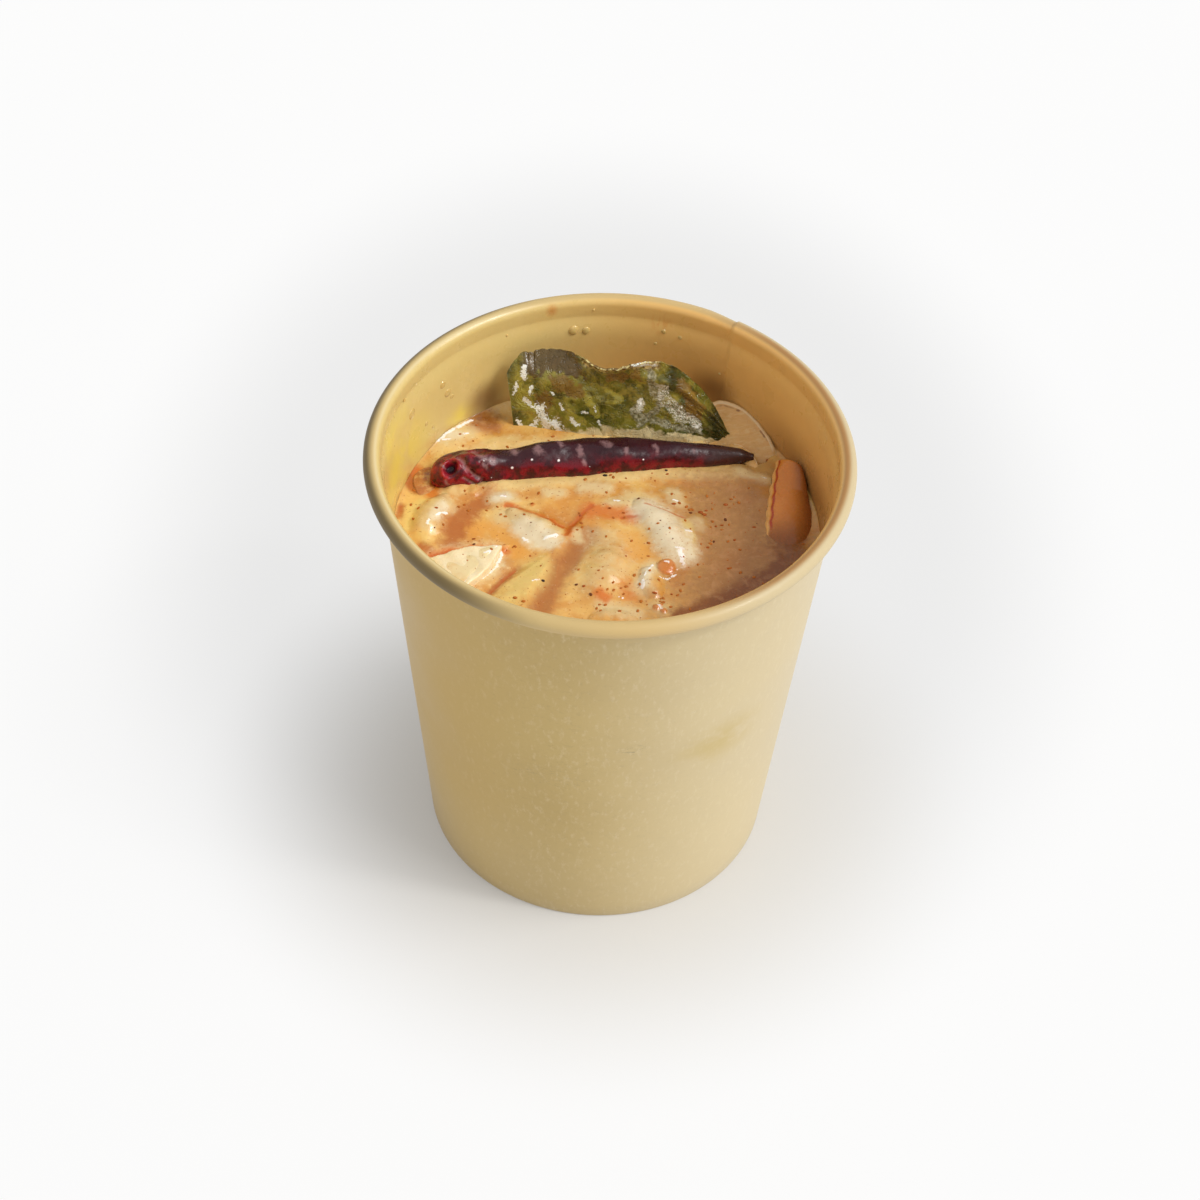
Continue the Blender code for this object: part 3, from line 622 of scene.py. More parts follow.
soup = {
    "level": 80.0, "grid": 296, "side gap": 0.04, "meniscus": 0.6, "meniscus width": 1.0,
    # heights of the loops down its side, the last one on the cup's floor
    "side levels": (78.6, 60.0, 30.0, 8.95),
    # broad swells of the surface: x, half width, y, half width, share of the height
    "swell": 0.7,
    "swells": [(-1, 9, -12, 12, 1), (12, 6, 0, 9, 1), (-16, 7, -2, 6, 1), (31, 5, 15, 6, 1),
               (-8, 4, 4, 6, -0.5)],
    # tones in the order they are laid: colour, most of it, what frays it, how far it feathers out
    "tones": {
        # the shade, the mauve and the brown tones are painted shade on the broth
        "cream": ((230, 202, 138), 0.7, "grain", -0.3), "tan": ((204, 166, 100), 0.85, "grain", -0.3),
        "gold": ((226, 158, 62), 0.8, "streaks", -0.3), "shade": ((168, 100, 40), 0.9, "grain", -0.7),
        "mauve": ((158, 106, 54), 0.9, "grain", -1.3), "rust": ((178, 98, 32), 0.9, "streaks", -0.6),
        "yellow": ((228, 200, 118), 0.85, "grain", -0.3), "flesh": ((222, 198, 146), 0.82, "grain", -0.6),
        "pale": ((236, 220, 172), 0.9, "grain", -0.3), "orange": ((210, 112, 32), 0.88, "streaks", -0.3),
        "white": ((230, 216, 184), 0.85, "grain", -0.7), "brown": ((132, 72, 12), 0.94, "grain", -1.3),
    },
    # what shows in the broth: tone, points along it, half width, strength, lift
    "strokes": [
        # pale flesh of the prawns, and small pale lumps
        ("yellow", [(-40.4, -0.2), (-39.6, 3.2), (-37.4, 5.6)], 1.9, 1.0, 0.2),
        ("flesh", [(-36.6, -0.6), (-36.0, 3.4), (-33.6, 5.6)], 2.1, 0.9, 0.35),
        ("white", [(-35.4, 0.6), (-33.8, 4.4)], 1.0, 0.7, 0.15),
        ("yellow", [(-37.6, -3.6), (-36.2, -5.2)], 1.2, 0.6, 0.0),
        ("flesh", [(-23.5, 8.1), (-20.5, 8.6)], 1.6, 0.8, 0.35),
        ("white", [(-23.0, 8.3), (-21.2, 8.6)], 0.9, 0.8, 0.1),
        ("flesh", [(-12.6, 10.4), (-10.0, 10.5)], 1.2, 0.75, 0.25),
        ("flesh", [(-5.0, 12.2), (-0.5, 12.6)], 1.5, 0.85, 0.3),
        ("flesh", [(0.4, 8.3), (2.6, 8.0)], 1.3, 0.85, 0.35),
        ("flesh", [(-20.0, 2.8), (-15.9, 0.5), (-11.6, -2.6)], 2.6, 0.85, 0.35),
        ("white", [(-17.4, -0.8), (-14.4, -3.0), (-11.8, -4.4)], 1.9, 0.9, 0.2),
        ("flesh", [(-5.7, -0.8), (-6.1, -3.2)], 1.1, 0.75, 0.45),
        ("flesh", [(6.5, 7.9), (9.6, 4.9), (12.2, 1.0), (14.6, -4.6)], 3.4, 0.95, 0.35),
        ("white", [(8.4, 5.8), (11.2, 1.8), (12.7, -2.8), (15.0, -5.4)], 2.7, 0.9, 0.2),
        ("yellow", [(16.3, 3.0), (17.2, -1.9), (16.9, -5.9)], 1.1, 0.8, 0.1),
        ("white", [(16.6, 0.4), (17.0, -2.4)], 0.7, 0.7, 0.2),
        ("flesh", [(13.2, 11.8), (14.2, 9.1)], 1.5, 0.8, 0.35),
        ("flesh", [(18.4, 4.1), (18.9, 2.1)], 1.2, 0.6, 0.25),
        ("flesh", [(9.2, -10.4), (8.2, -12.8), (7.6, -16.0)], 1.8, 0.85, 0.4),
        ("white", [(8.8, -11.0), (7.8, -15.4)], 0.9, 0.8, 0.2),
        ("flesh", [(0.6, -22.0), (5.4, -23.2)], 1.8, 0.85, 0.3),
        ("flesh", [(10.0, -20.3), (11.8, -21.4)], 1.5, 0.5, 0.3),
        ("flesh", [(-0.4, -3.0), (1.4, -10.0), (-0.6, -14.0)], 4.2, 0.55, 0.45),
        ("flesh", [(27.3, 19.2), (29.6, 17.9), (32.6, 16.8)], 1.1, 0.75, 0.35),
        ("pale", [(-33.6, -11.0), (-28.0, -8.6), (-23.6, -8.6)], 3.2, 0.9, 0.0),
        ("pale", [(-28.6, -14.0), (-24.0, -11.0)], 3.6, 0.9, 0.0),
        ("yellow", [(-14.0, -12.2), (-15.6, -16.9), (-18.6, -20.6)], 3.2, 0.8, 0.1),
        ("yellow", [(-2.0, -6.0), (-4.0, -14.0)], 2.4, 0.35, 0.0),
        # golden oil, and orange paste drawn through it
        ("gold", [(-27.5, -0.2), (-23.3, -0.6), (-19.6, -4.4), (-17.6, -7.6)], 2.6, 0.85, 0.0),
        ("gold", [(3.7, -1.4), (6.5, -4.5), (7.0, -7.7)], 2.2, 0.9, 0.0),
        ("gold", [(-3.6, 2.0), (1.0, 0.6)], 2.0, 0.6, 0.0),
        ("gold", [(-31.0, 12.0), (-26.0, 8.0)], 1.4, 0.5, 0.0),
        ("gold", [(-12.0, 6.6), (-6.0, 8.6)], 2.0, 0.5, 0.0),
        ("rust", [(-24.7, 8.4), (-28.6, 3.7), (-31.8, 0.2), (-31.2, -5.0)], 2.2, 0.95, -0.1),
        ("rust", [(-42.4, 4.4), (-42.4, 1.6)], 0.8, 0.9, 0.0),
        ("rust", [(-37.0, -6.4), (-35.6, -8.0)], 1.2, 0.7, 0.0),
        ("orange", [(-35.2, -9.2), (-31.6, -7.6), (-27.1, -6.0), (-23.9, -6.0), (-20.1, -7.4)],
         0.9, 0.8, 0.0),
        ("orange", [(-21.0, 6.2), (-16.1, 4.6), (-11.8, 2.2), (-9.0, 0.6)], 0.9, 0.75, 0.0),
        ("orange", [(-4.0, 5.4), (-0.4, 6.0), (2.4, 5.0), (5.4, 4.2)], 2.0, 0.95, 0.1),
        ("orange", [(-7.9, -2.3), (-6.9, 1.1), (-5.4, 4.8), (-3.2, 7.3)], 1.0, 0.8, 0.0),
        ("orange", [(-0.9, -18.6), (0.6, -19.6)], 1.3, 0.9, 0.1),
        ("orange", [(4.6, -15.0), (5.2, -19.0)], 1.6, 0.5, 0.0),
        ("rust", [(-23.0, -19.2), (-20.2, -15.8), (-17.6, -12.4)], 1.0, 0.95, -0.35),
        ("rust", [(15.4, -8.4), (14.4, -14.0)], 1.4, 0.3, 0.0),
        ("rust", [(-9.2, 7.6), (-3.0, 13.8)], 0.9, 0.25, 0.0),
        ("rust", [(-42.2, 15.6), (-41.2, 12.4), (-39.4, 9.6)], 1.1, 1.0, 0.0),
        ("orange", [(-39.8, 15.2), (-37.6, 11.4), (-36.4, 9.2)], 1.8, 0.9, 0.1),
        # painted shade: darker hollows beside the lumps, the shade of the right wall over the right side in
        # mauve, a tan patch, and deeper shade in brown along the wall at the front right
        ("shade", [(-3.6, -1.6), (-7.4, -8.2), (-10.0, -14.6), (-11.6, -20.6), (-12.4, -25.0)],
         1.9, 0.9, -0.35),
        ("shade", [(-41.4, 14.6), (-39.8, 11.4)], 1.8, 0.9, 0.0),
        ("shade", [(-6.2, 4.6), (-7.4, 0.0)], 1.0, 0.6, -0.1),
        ("shade", [(-24.6, -9.0), (-19.4, -10.0)], 1.0, 0.35, 0.0),
        ("mauve", [(24.5, 9.1), (25.9, 1.2), (26.3, -6.6), (24.5, -13.1)], 6.5, 0.9, 0.0),
        ("mauve", [(31.0, 6.0), (31.0, -4.0)], 4.6, 0.7, 0.0),
        ("mauve", [(12.0, -22.0), (20.0, -18.5)], 4.0, 0.5, 0.0),
        ("tan", [(28.4, -11.4), (23.0, -17.0)], 2.0, 0.5, 0.0),
        ("brown", [(38.6, 1.0), (37.6, -4.6), (34.2, -9.6), (29.4, -14.0), (24.6, -17.0), (19.4, -20.6),
                   (15.6, -22.6)], 1.35, 1.0, 0.0),
        ("brown", [(35.4, 1.0), (35.4, -6.0)], 1.3, 0.7, 0.0),
        ("brown", [(42.0, -7.0), (37.0, -15.6), (29.0, -22.6), (19.0, -27.6)], 3.6, 0.95, 0.0),
        # cream along the chilli and at the foot of the leaf
        ("cream", [(-33.0, 9.8), (-22.0, 12.4), (-5.0, 15.6), (12.0, 18.0), (26.0, 19.0)], 1.9, 1.0, 0.35),
        ("cream", [(-31.0, 20.6), (-15.0, 24.2), (0.0, 26.4), (16.0, 27.4), (24.0, 26.0)], 2.6, 1.0, 0.4),
        ("cream", [(-35.4, 22.4), (-31.4, 27.4), (-27.0, 30.6)], 2.0, 0.8, 0.4),
        ("yellow", [(-38.6, 17.0), (-35.0, 19.6)], 2.0, 0.5, 0.1),
        ("cream", [(-31.4, 10.0), (-28.6, 10.2)], 1.3, 1.0, 0.7),
        ("cream", [(-26.0, 11.0), (-22.4, 12.4)], 1.1, 0.9, 0.5),
        ("cream", [(-24.0, 34.0), (-12.0, 38.0), (4.0, 39.0)], 3.0, 0.6, 0.2),
        # painted shadow of the leaf on the broth behind the chilli
        ("shade", [(-28.6, 29.4), (-25.0, 29.6)], 1.6, 0.85, 0.0),
        ("brown", [(-30.6, 34.0), (-25.4, 32.4)], 1.5, 0.8, 0.0),
        ("yellow", [(-37.0, 27.4), (-32.4, 31.2)], 2.2, 0.8, 0.1),
        ("flesh", [(-35.0, 25.0), (-30.4, 27.6)], 1.8, 0.8, 0.25),
        ("white", [(-34.0, 25.6), (-32.2, 26.6)], 0.9, 0.7, 0.1),
        ("cream", [(-26.0, 24.6), (-20.0, 26.4)], 1.6, 0.9, 0.2),
        ("tan", [(29.0, 22.0), (36.0, 16.0)], 3.4, 0.8, 0.0),
    ],
    # narrow dark-orange lines: points, half width
    "lines": [
        ([(-20.8, 5.9), (-16.1, 4.2), (-11.8, 1.8), (-9.0, 0.3)], 0.4),
        ([(-35.0, -9.0), (-31.6, -7.6), (-27.1, -6.4), (-23.9, -6.5)], 0.35),
        ([(-7.9, -2.3), (-6.9, 1.1), (-5.4, 4.8), (-3.2, 7.3)], 0.4), ([(3.1, 3.8), (6.1, 4.3)], 0.35),
        ([(7.7, 7.4), (12.4, 5.7), (16.1, 4.3)], 0.22), ([(-18.2, -12.6), (-22.7, -19.0)], 0.3),
    ],
    # painted highlights (glints and rims of light), with some crisp wet froth: points, half width
    "glintsAndFroth": [
        ([(-34.9, 0.8), (-34.0, 1.8), (-32.7, 2.8)], 0.22), ([(-36.3, -0.6), (-36.5, -1.6)], 0.3),
        ([(-16.8, -3.8), (-15.9, -4.6)], 0.38), ([(-12.4, -4.2), (-10.3, -3.2)], 0.5),
        ([(14.6, -6.2), (15.3, -7.4), (15.5, -8.7)], 0.6), ([(14.0, -5.6), (15.6, -5.6)], 0.35),
        ([(16.2, 0.2), (17.2, 0.4)], 0.3), ([(9.4, -9.6), (8.9, -11.2)], 0.3),
        ([(7.6, -14.6), (7.6, -16.4)], 0.38), ([(8.2, -12.2), (7.9, -13.6)], 0.2),
        ([(11.0, -12.7), (12.6, -12.9), (14.1, -11.6)], 0.26), ([(11.7, -9.2), (12.6, -9.2)], 0.3),
        ([(-14.4, -17.1), (-13.1, -16.2)], 0.3), ([(13.4, 9.6), (14.4, 9.2)], 0.3),
        ([(-36.2, 23.8), (-33.4, 27.4), (-29.4, 31.0)], 0.35), ([(3.0, -18.8), (3.8, -19.0)], 0.2),
        ([(10.6, -20.6), (11.6, -21.2)], 0.35), ([(-33.6, 30.6), (-30.0, 33.0)], 0.3),
        ([(-35.4, 24.2), (-33.6, 24.8)], 0.25), ([(-31.0, 26.6), (-30.0, 26.9)], 0.25),
        ([(31.4, 17.2), (32.6, 16.8)], 0.15),
        ([(-23.6, -6.8), (-20.9, -8.2), (-22.0, -11.8), (-24.6, -14.6), (-27.6, -17.2)], 0.36),
        ([(-30.2, -9.4), (-28.6, -8.8)], 0.5), ([(1.2, 8.8), (2.2, 8.6)], 0.25),
        ([(-24.4, -9.4), (-23.4, -9.0)], 0.4), ([(-22.2, 8.6), (-21.4, 8.7)], 0.3),
    ],
    # drops of oil standing on the surface: x, y, radius, height
    "bubbles": [(12.2, -9.9, 2.0, 0.9), (10.4, -21.0, 0.8, 0.5), (11.9, -21.8, 0.7, 0.45),
                (11.3, -20.2, 0.5, 0.35), (-15.5, 6.9, 0.6, 0.3)],
}

prawns = {
    # start, end, bow, half widths at the start, the middle and the end, how proud it stands, how bare it is
    "prawn_1": ((6.0, 9.4), (14.9, -10.0), 1.4, (2.6, 5.2, 4.2), 1.7, 0.02),
    "prawn_2": ((1.8, -2.8), (-3.6, -21.2), 0.8, (4.8, 6.2, 5.4), 1.5, -0.30),
    "prawn_3": ((-20.4, 4.8), (-9.2, -5.4), 0.8, (2.0, 4.1, 3.8), 1.5, -0.04),
    "prawn_4": ((-37.6, -5.6), (-33.0, 8.4), 0.8, (3.2, 3.9, 3.0), 1.6, -0.06),
    "prawn_5": ((8.0, -10.6), (10.2, -18.6), 0.3, (2.0, 2.5, 2.2), 1.2, 0.0),
    "prawn_6": ((-3.0, -25.0), (7.0, -25.4), 0.4, (2.1, 2.7, 2.3), 1.1, 0.0),
}

mushrooms = {
    # corners; how bare it is, softness of its edge and of the broth that meets it; share of its size, sunk by
    "mushroom_slice_1": (((-20.4, -6.0, 82.2), (-36.6, -10.4, 80.6), (-28.6, -19.6, 81.8)),
                         (0.02, 1.0, 0.4), (1.0, 0.0)),
    "mushroom_slice_2": (((-10.8, -9.6, 81.6), (-23.0, -22.4, 81.2), (-11.8, -26.0, 80.6)),
                         (-1.1, 4.0, 1.4), (0.86, 0.5)),
}

slices = {
    # distance from the middle, compass angle and height; half size up the slope and along it, thickness;
    # slope and roll in degrees; slot
    "galangal_slice_1": ((39.3, 48.5, 81.0), (5.6, 9.6, 1.1), (37.0, 12.0), "galangal_flesh"),
    "galangal_slice_2": ((36.9, 40.5, 80.2), (1.5, 4.4, 1.0), (22.0, 6.0), "galangal_fibre"),
    "chilli_flap": ((39.4, 161.5, 80.1), (3.0, 4.4, 0.9), (5.0, -2.0), "torn_chilli_skin"),
}
noTopping = 60.0


def prawnWidth(part, widths):
    middle = 2.0 * widths[1] - 0.5 * (widths[0] + widths[2])
    width = (1 - part) ** 2 * widths[0] + part ** 2 * widths[2] + 2 * part * (1 - part) * middle
    return width, width * (1 + 0.03 * np.sin(8 * math.pi * part))


def prawnTop(x, y, spec):
    # height of a prawn's back over the plan, very low where there is none
    start, end, bow, widths, proud, _ = spec
    dx, dy = end[0] - start[0], end[1] - start[1]
    length = math.hypot(dx, dy)
    part = ((x - start[0]) * dx + (y - start[1]) * dy) / length ** 2
    side = (-(x - start[0]) * dy + (y - start[1]) * dx) / length
    inside = np.clip(part, 0.0, 1.0)
    side = side - bow * 4 * inside * (1 - inside)
    width, ringed = prawnWidth(inside, widths)
    half = ringed * np.maximum(4 * inside * (1 - inside), 1e-6) ** 0.325
    top = soup["level"] + proud - width + np.sqrt(np.maximum(half ** 2 - side ** 2, 0))
    return np.where((part > 0) & (part < 1) & (np.abs(side) < half), top, noTopping)


def mushroomTop(x, y, corners, soft):
    # height of a slice's upper face, falling away at its edges
    a, b, c = (np.array(p) for p in corners)
    normal = np.cross(b - a, c - a)
    height = a[2] - (normal[0] * (x - a[0]) + normal[1] * (y - a[1])) / normal[2]
    inside = np.full(x.shape, 99.0)
    for p, q in ((a, b), (b, c), (c, a)):
        length = math.hypot(q[0] - p[0], q[1] - p[1])
        inside = np.minimum(inside, ((q[0] - p[0]) * (y - p[1]) - (q[1] - p[1]) * (x - p[0])) / length)
    height = height - 1.6 * (1 - easeIn(inside, -0.4 * soft, 1.4 * soft)) ** 2
    return height - 3.0 / soft * np.maximum(-inside - 0.3 * soft, 0)


def sliceFrame(spec):
    (distance, compass, height), _, (slope, roll), _ = spec
    turn = Matrix.Rotation(math.radians(compass), 4, "Z")
    tip = Matrix.Rotation(-math.radians(slope), 4, "Y") @ Matrix.Rotation(math.radians(roll), 4, "X")
    return Matrix.Translation(turn @ Vector((distance, 0, height))) @ turn @ tip


def strokeField(x, y, path, width):
    # 1 along the path, 0 at its edge and below 0 outside
    best = np.full(x.shape, 1e9)
    for (ax, ay), (bx, by) in zip(path, path[1:]):
        dx, dy = bx - ax, by - ay
        part = np.clip(((x - ax) * dx + (y - ay) * dy) / (dx * dx + dy * dy), 0, 1)
        best = np.minimum(best, np.hypot(x - ax - part * dx, y - ay - part * dy))
    return np.clip(1 - best / width, -1.5, 1)


def makeWay(x, y, z, spec):
    # lowers the surface where a slice leans into it
    _, (halfUp, halfAlong, _), _, _ = spec
    back = sliceFrame(spec).inverted()
    up, along, above = (row[0] * x + row[1] * y + row[2] * z + row[3] for row in list(back)[:3])
    within = easeIn(1 - (up / (halfUp - 0.4)) ** 2 - (along / (halfAlong - 0.5)) ** 2, -0.1, 0.25)
    return z - within * np.clip(above + 0.45, 0, 2.4) / max(back[2][2], 0.4)


def soupSurface(x, y):
    # height of the broth, and how much of each tone shows there
    ring = wallRadius(80.5) - cup["paper"]
    rise = sum(share * bell(x, cx, wide) * bell(y, cy, deep) for cx, wide, cy, deep, share in soup["swells"])
    z = soup["level"] + soup["swell"] * rise
    z += 0.12 * softNoise(x, y, 0, 6.0, 5, 2) + 0.03 * softNoise(x, y, 0, 1.3, 9, 2)
    for index, spec in enumerate(prawns.values()):
        bare = spec[-1] + 0.22 * softNoise(x, y, 0, 4.0, 40 + index, 2)
        top = prawnTop(x, y, spec)
        z = np.where(top > noTopping + 1, smoothMax(z, top - bare, 0.8), z)
    for index, (corners, (bare, soft, meeting), _) in enumerate(mushrooms.values()):
        bare = bare + 0.22 * softNoise(x, y, 0, 2.6, 50 + index, 2)
        z = smoothMax(z, mushroomTop(x, y, corners, soft) - bare, meeting)
    wanderX, wanderY = 0.8 * softNoise(x, y, 0, 4.0, 61, 3), 0.8 * softNoise(x, y, 0, 4.0, 62, 3)
    marks = {name: np.zeros(x.shape) for name in soup["tones"]}
    for tone, path, width, much, lift in soup["strokes"]:
        field = strokeField(x + wanderX, y + wanderY, path, width * 1.5)
        mass = easeIn(field, soup["tones"][tone][3], 0.95)
        marks[tone] = np.maximum(marks[tone], much * mass)
        curdled = 1 + 0.4 * softNoise(x, y, 0, 1.7, 71, 2) if tone == "cream" else 1
        z += lift * easeIn(field, -0.5, 0.9) * curdled
    # the lines sink a little, and the painted highlights and froth stand up
    for name, wander, lift in (("lines", 0.5, -0.10), ("glintsAndFroth", 0.25, 0.14)):
        marks[name] = np.full(x.shape, -1.5)
        for path, width in soup[name]:
            field = strokeField(x + wander * wanderX, y + wander * wanderY, path, width * 2)
            marks[name] = np.maximum(marks[name], field)
            z += lift * easeIn(field, 0.0, 1.0)
    marks["bubble"] = np.zeros(x.shape)
    for cx, cy, radius, high in soup["bubbles"]:
        inside = 1 - ((x - cx) ** 2 + (y - cy) ** 2) / radius ** 2
        z += high * np.sqrt(np.maximum(inside, 0))
        marks["bubble"] = np.maximum(marks["bubble"], easeIn(inside, 0.0, 0.25))
    for name in ("galangal_slice_1", "galangal_slice_2"):
        z = makeWay(x, y, z, slices[name])
    climb = np.exp(-np.maximum(ring - np.hypot(x, y), 0) / soup["meniscus width"])
    z += soup["meniscus"] * climb * (1 + 0.5 * softNoise(x, y, 0, 5.0, 75, 2))
    return z, marks


def paintBroth():
    paint = Paint("creamyBroth", 0.2, Coat_Weight=0.1, Coat_Roughness=0.05, **glowInside(0.1, 2.2, 1.7, 1.1))
    cloud = paint.noise(0.11, detail=4.0, distortion=0.4)
    color = paint.mix(paint.ease(cloud, 0.3, 0.7), (204, 134, 54), (232, 188, 106))
    curds = paint.noise(0.75, detail=4.0, roughness=0.65)
    color = paint.mix(paint.ease(curds, 0.5, 0.75, 0.0, 0.35), color, (238, 212, 150))
    frays = {"grain": paint.times(paint.minus(curds, 0.5), 0.75),
             "streaks": paint.swing(1.3, 0.42, detail=5.0, roughness=0.65, distortion=0.8)}
    # tones laid on the broth; shade, mauve and brown are painted shade
    for name, (tone, much, fray, _) in soup["tones"].items():
        share = paint.mark(name)
        frayed = paint.plus(share, paint.times(frays[fray], paint.ease(share, 0.0, 0.3)))
        color = paint.mix(paint.ease(frayed, 0.05, 0.95, 0.0, much), color, tone)
    lines = paint.plus(paint.mark("lines"), frays["streaks"])
    color = paint.mix(paint.ease(lines, 0.0, 0.9, 0.0, 0.62), color, (190, 84, 22))
    color = paint.mix(paint.times(paint.mark("bubble"), 0.8), color, (204, 116, 40))
    # painted highlights and froth, near white
    glintsAndFroth = paint.plus(paint.mark("glintsAndFroth"), paint.swing(1.8, 1.1, distortion=0.8))
    color = paint.mix(paint.ease(glintsAndFroth, 0.45, 0.8, 0.0, 0.9), color, (252, 248, 240))
    mottle = paint.noise(0.4, detail=5.0, roughness=0.65, distortion=0.5)
    mottle = paint.times(paint.ease(mottle, 0.46, 0.68, 0.0, 0.5), paint.mark("mauve"))
    color = paint.mix(mottle, color, (196, 144, 92))
    dots = paint.noise(2.0, detail=2.0, roughness=0.4)
    color = paint.mix(paint.ease(dots, 0.66, 0.72, 0.0, 0.55), color, (168, 88, 26))
    roughness = paint.ease(curds, 0.3, 0.7, 0.12, 0.28)
    height = paint.plus(curds, paint.times(paint.noise(0.3, detail=2.0), 1.6))
    return paint.finish(color, roughness, height, distance=0.18, strength=0.35)


def evenDisc(n):
    # a disc of even squares: places in it, from -1 to 1
    line = np.linspace(-1, 1, n)
    a, b = np.meshgrid(line, line, indexing="ij")
    swap = np.abs(a) > np.abs(b)
    r = np.where(swap, a, b)
    with np.errstate(divide="ignore", invalid="ignore"):
        beside = (math.pi / 4) * b / np.where(a == 0, 1, a)
        above = math.pi / 2 - (math.pi / 4) * a / np.where(b == 0, 1, b)
    turn = np.where(swap, beside, above)
    return r * np.cos(turn), r * np.sin(turn)


def rimOf(rows, columns):
    # the outer points of a grid, in order round it
    index = np.arange(rows * columns).reshape(rows, columns)
    return list(index[:, 0]) + list(index[-1, 1:]) + list(index[-2::-1, -1]) + list(index[0, -2:0:-1])


def twoSheets(name, upper, lower, material, marks):
    # a closed piece between two sheets of the same number of points
    rows, columns, _ = upper.shape
    count = rows * columns
    points = np.vstack([upper.reshape(-1, 3), lower.reshape(-1, 3)])
    faces = gridFaces(rows, columns)
    faces += [tuple(reversed(f)) for f in gridFaces(rows, columns, first=count)]
    rim = rimOf(rows, columns)
    for p, q in zip(rim, rim[1:] + rim[:1]):
        faces.append((q, p, p + count, q + count))
    marks = {key: np.tile(np.asarray(value).ravel(), 2) for key, value in marks.items()}
    return addPiece(name, points, outwards(points, faces), material, marks)


def sideRadius(level):
    return wallRadius(level) - cup["paper"] - soup["side gap"]


def makeBroth():
    n, levels = soup["grid"], soup["side levels"]
    x, y = (part.ravel() * sideRadius(80.6) for part in evenDisc(n))
    z, marks = soupSurface(x, y)
    points = np.stack([x, y, z], axis=1)
    faces, rim = gridFaces(n, n), rimOf(n, n)
    lower = []
    for level in levels:
        ring = points[rim].copy()
        share = sideRadius(level) / np.hypot(ring[:, 0], ring[:, 1])
        ring[:, :2] *= share[:, None]
        ring[:, 2] = level
        lower.append(ring)
    count, m = n * n, len(rim)
    loops = [np.array(rim)] + [count + k * m + np.arange(m) for k in range(len(levels))]
    for upper, under in zip(loops, loops[1:]):
        faces += [(upper[(k + 1) % m], upper[k], under[k], under[(k + 1) % m]) for k in range(m)]
    points = np.vstack([points] + lower + [[[0, 0, levels[-1]]]])
    faces += [(loops[-1][(k + 1) % m], loops[-1][k], len(points) - 1) for k in range(m)]
    hidden = np.zeros(len(points) - count)
    marks = {key: np.concatenate([value, hidden]) for key, value in marks.items()}
    broth = addPiece("broth_surface", points, outwards(points, faces), paintBroth(), marks)
    onFrame(broth, "creamy_broth", "broth")


makeBroth()
say("broth ready")


def paintFlesh(name, pale, warm, blush):
    paint = Paint(name, 0.26, Coat_Weight=0.35, Coat_Roughness=0.08, **glowInside(0.2, 2.2, 1.7, 1.2))
    color = paint.mix(paint.noise(0.25, detail=4.0), pale, warm)
    strands = paint.noise(0.8, detail=4.0, roughness=0.6, distortion=0.8)
    color = paint.mix(paint.ease(strands, 0.55, 0.75, 0.0, 0.4), color, blush)
    roughness = paint.ease(strands, 0.3, 0.7, 0.18, 0.36)
    return paint.finish(color, roughness, strands, distance=0.12, strength=0.4)


def makePrawns():
    material = paintFlesh("prawnFlesh", (236, 224, 196), (230, 206, 158), (224, 164, 92))
    rows, columns = 56, 40
    for index, (name, spec) in enumerate(prawns.items()):
        start, end, bow, widths, proud, _ = spec
        length = math.hypot(end[0] - start[0], end[1] - start[1])
        along = ((end[0] - start[0]) / length, (end[1] - start[1]) / length)
        side = (-along[1], along[0])
        polar = np.linspace(0.02, math.pi - 0.02, rows)[:, None]
        around = np.linspace(0, 2 * math.pi, columns, endpoint=False)[None, :]
        part = 0.5 * (1 - np.cos(polar))
        width, ringed = prawnWidth(part, widths)
        half = ringed * np.sin(polar) ** 0.65
        off = half * np.cos(around) + bow * 4 * part * (1 - part)
        x = start[0] + along[0] * length * part + side[0] * off
        y = start[1] + along[1] * length * part + side[1] * off
        z = soup["level"] + proud - width + half * np.sin(around)
        z = z + 0.14 * softNoise(x, y, z, 1.8, 90 + index, 2)
        piece = loftPiece(name + "_flesh", np.stack([x, y, z], axis=2), material)
        onFrame(piece, "prawn_flesh", name)


def softSlab(name, corners, thickness, rounding, voxel, material, relief):
    # a flat many-cornered piece with worn, rounded edges
    shape = bmesh.new()
    lower = [shape.verts.new((Vector(c) - Vector((0, 0, thickness))) * mm) for c in corners]
    upper = [shape.verts.new(Vector(c) * mm) for c in corners]
    shape.faces.new(upper)
    shape.faces.new(list(reversed(lower)))
    for i in range(len(corners)):
        j = (i + 1) % len(corners)
        shape.faces.new((lower[i], lower[j], upper[j], upper[i]))
    bmesh.ops.recalc_face_normals(shape, faces=shape.faces)
    mesh = bpy.data.meshes.new(name)
    shape.to_mesh(mesh)
    shape.free()
    slab = show(name, mesh)
    even = slab.modifiers.new("even", "REMESH")
    even.mode, even.voxel_size = "VOXEL", voxel * mm
    soften = slab.modifiers.new("soften", "SMOOTH")
    soften.factor, soften.iterations = 0.5, rounding
    slab = settle(slab)
    points = np.empty(len(slab.data.vertices) * 3)
    slab.data.vertices.foreach_get("co", points)
    points = points.reshape(-1, 3) / mm
    points[:, 2] += relief(points[:, 0], points[:, 1])
    slab.data.vertices.foreach_set("co", (points * mm).ravel())
    slab.data.materials.append(material)
    slab.data.shade_smooth()
    slab.data.update()
    return slab


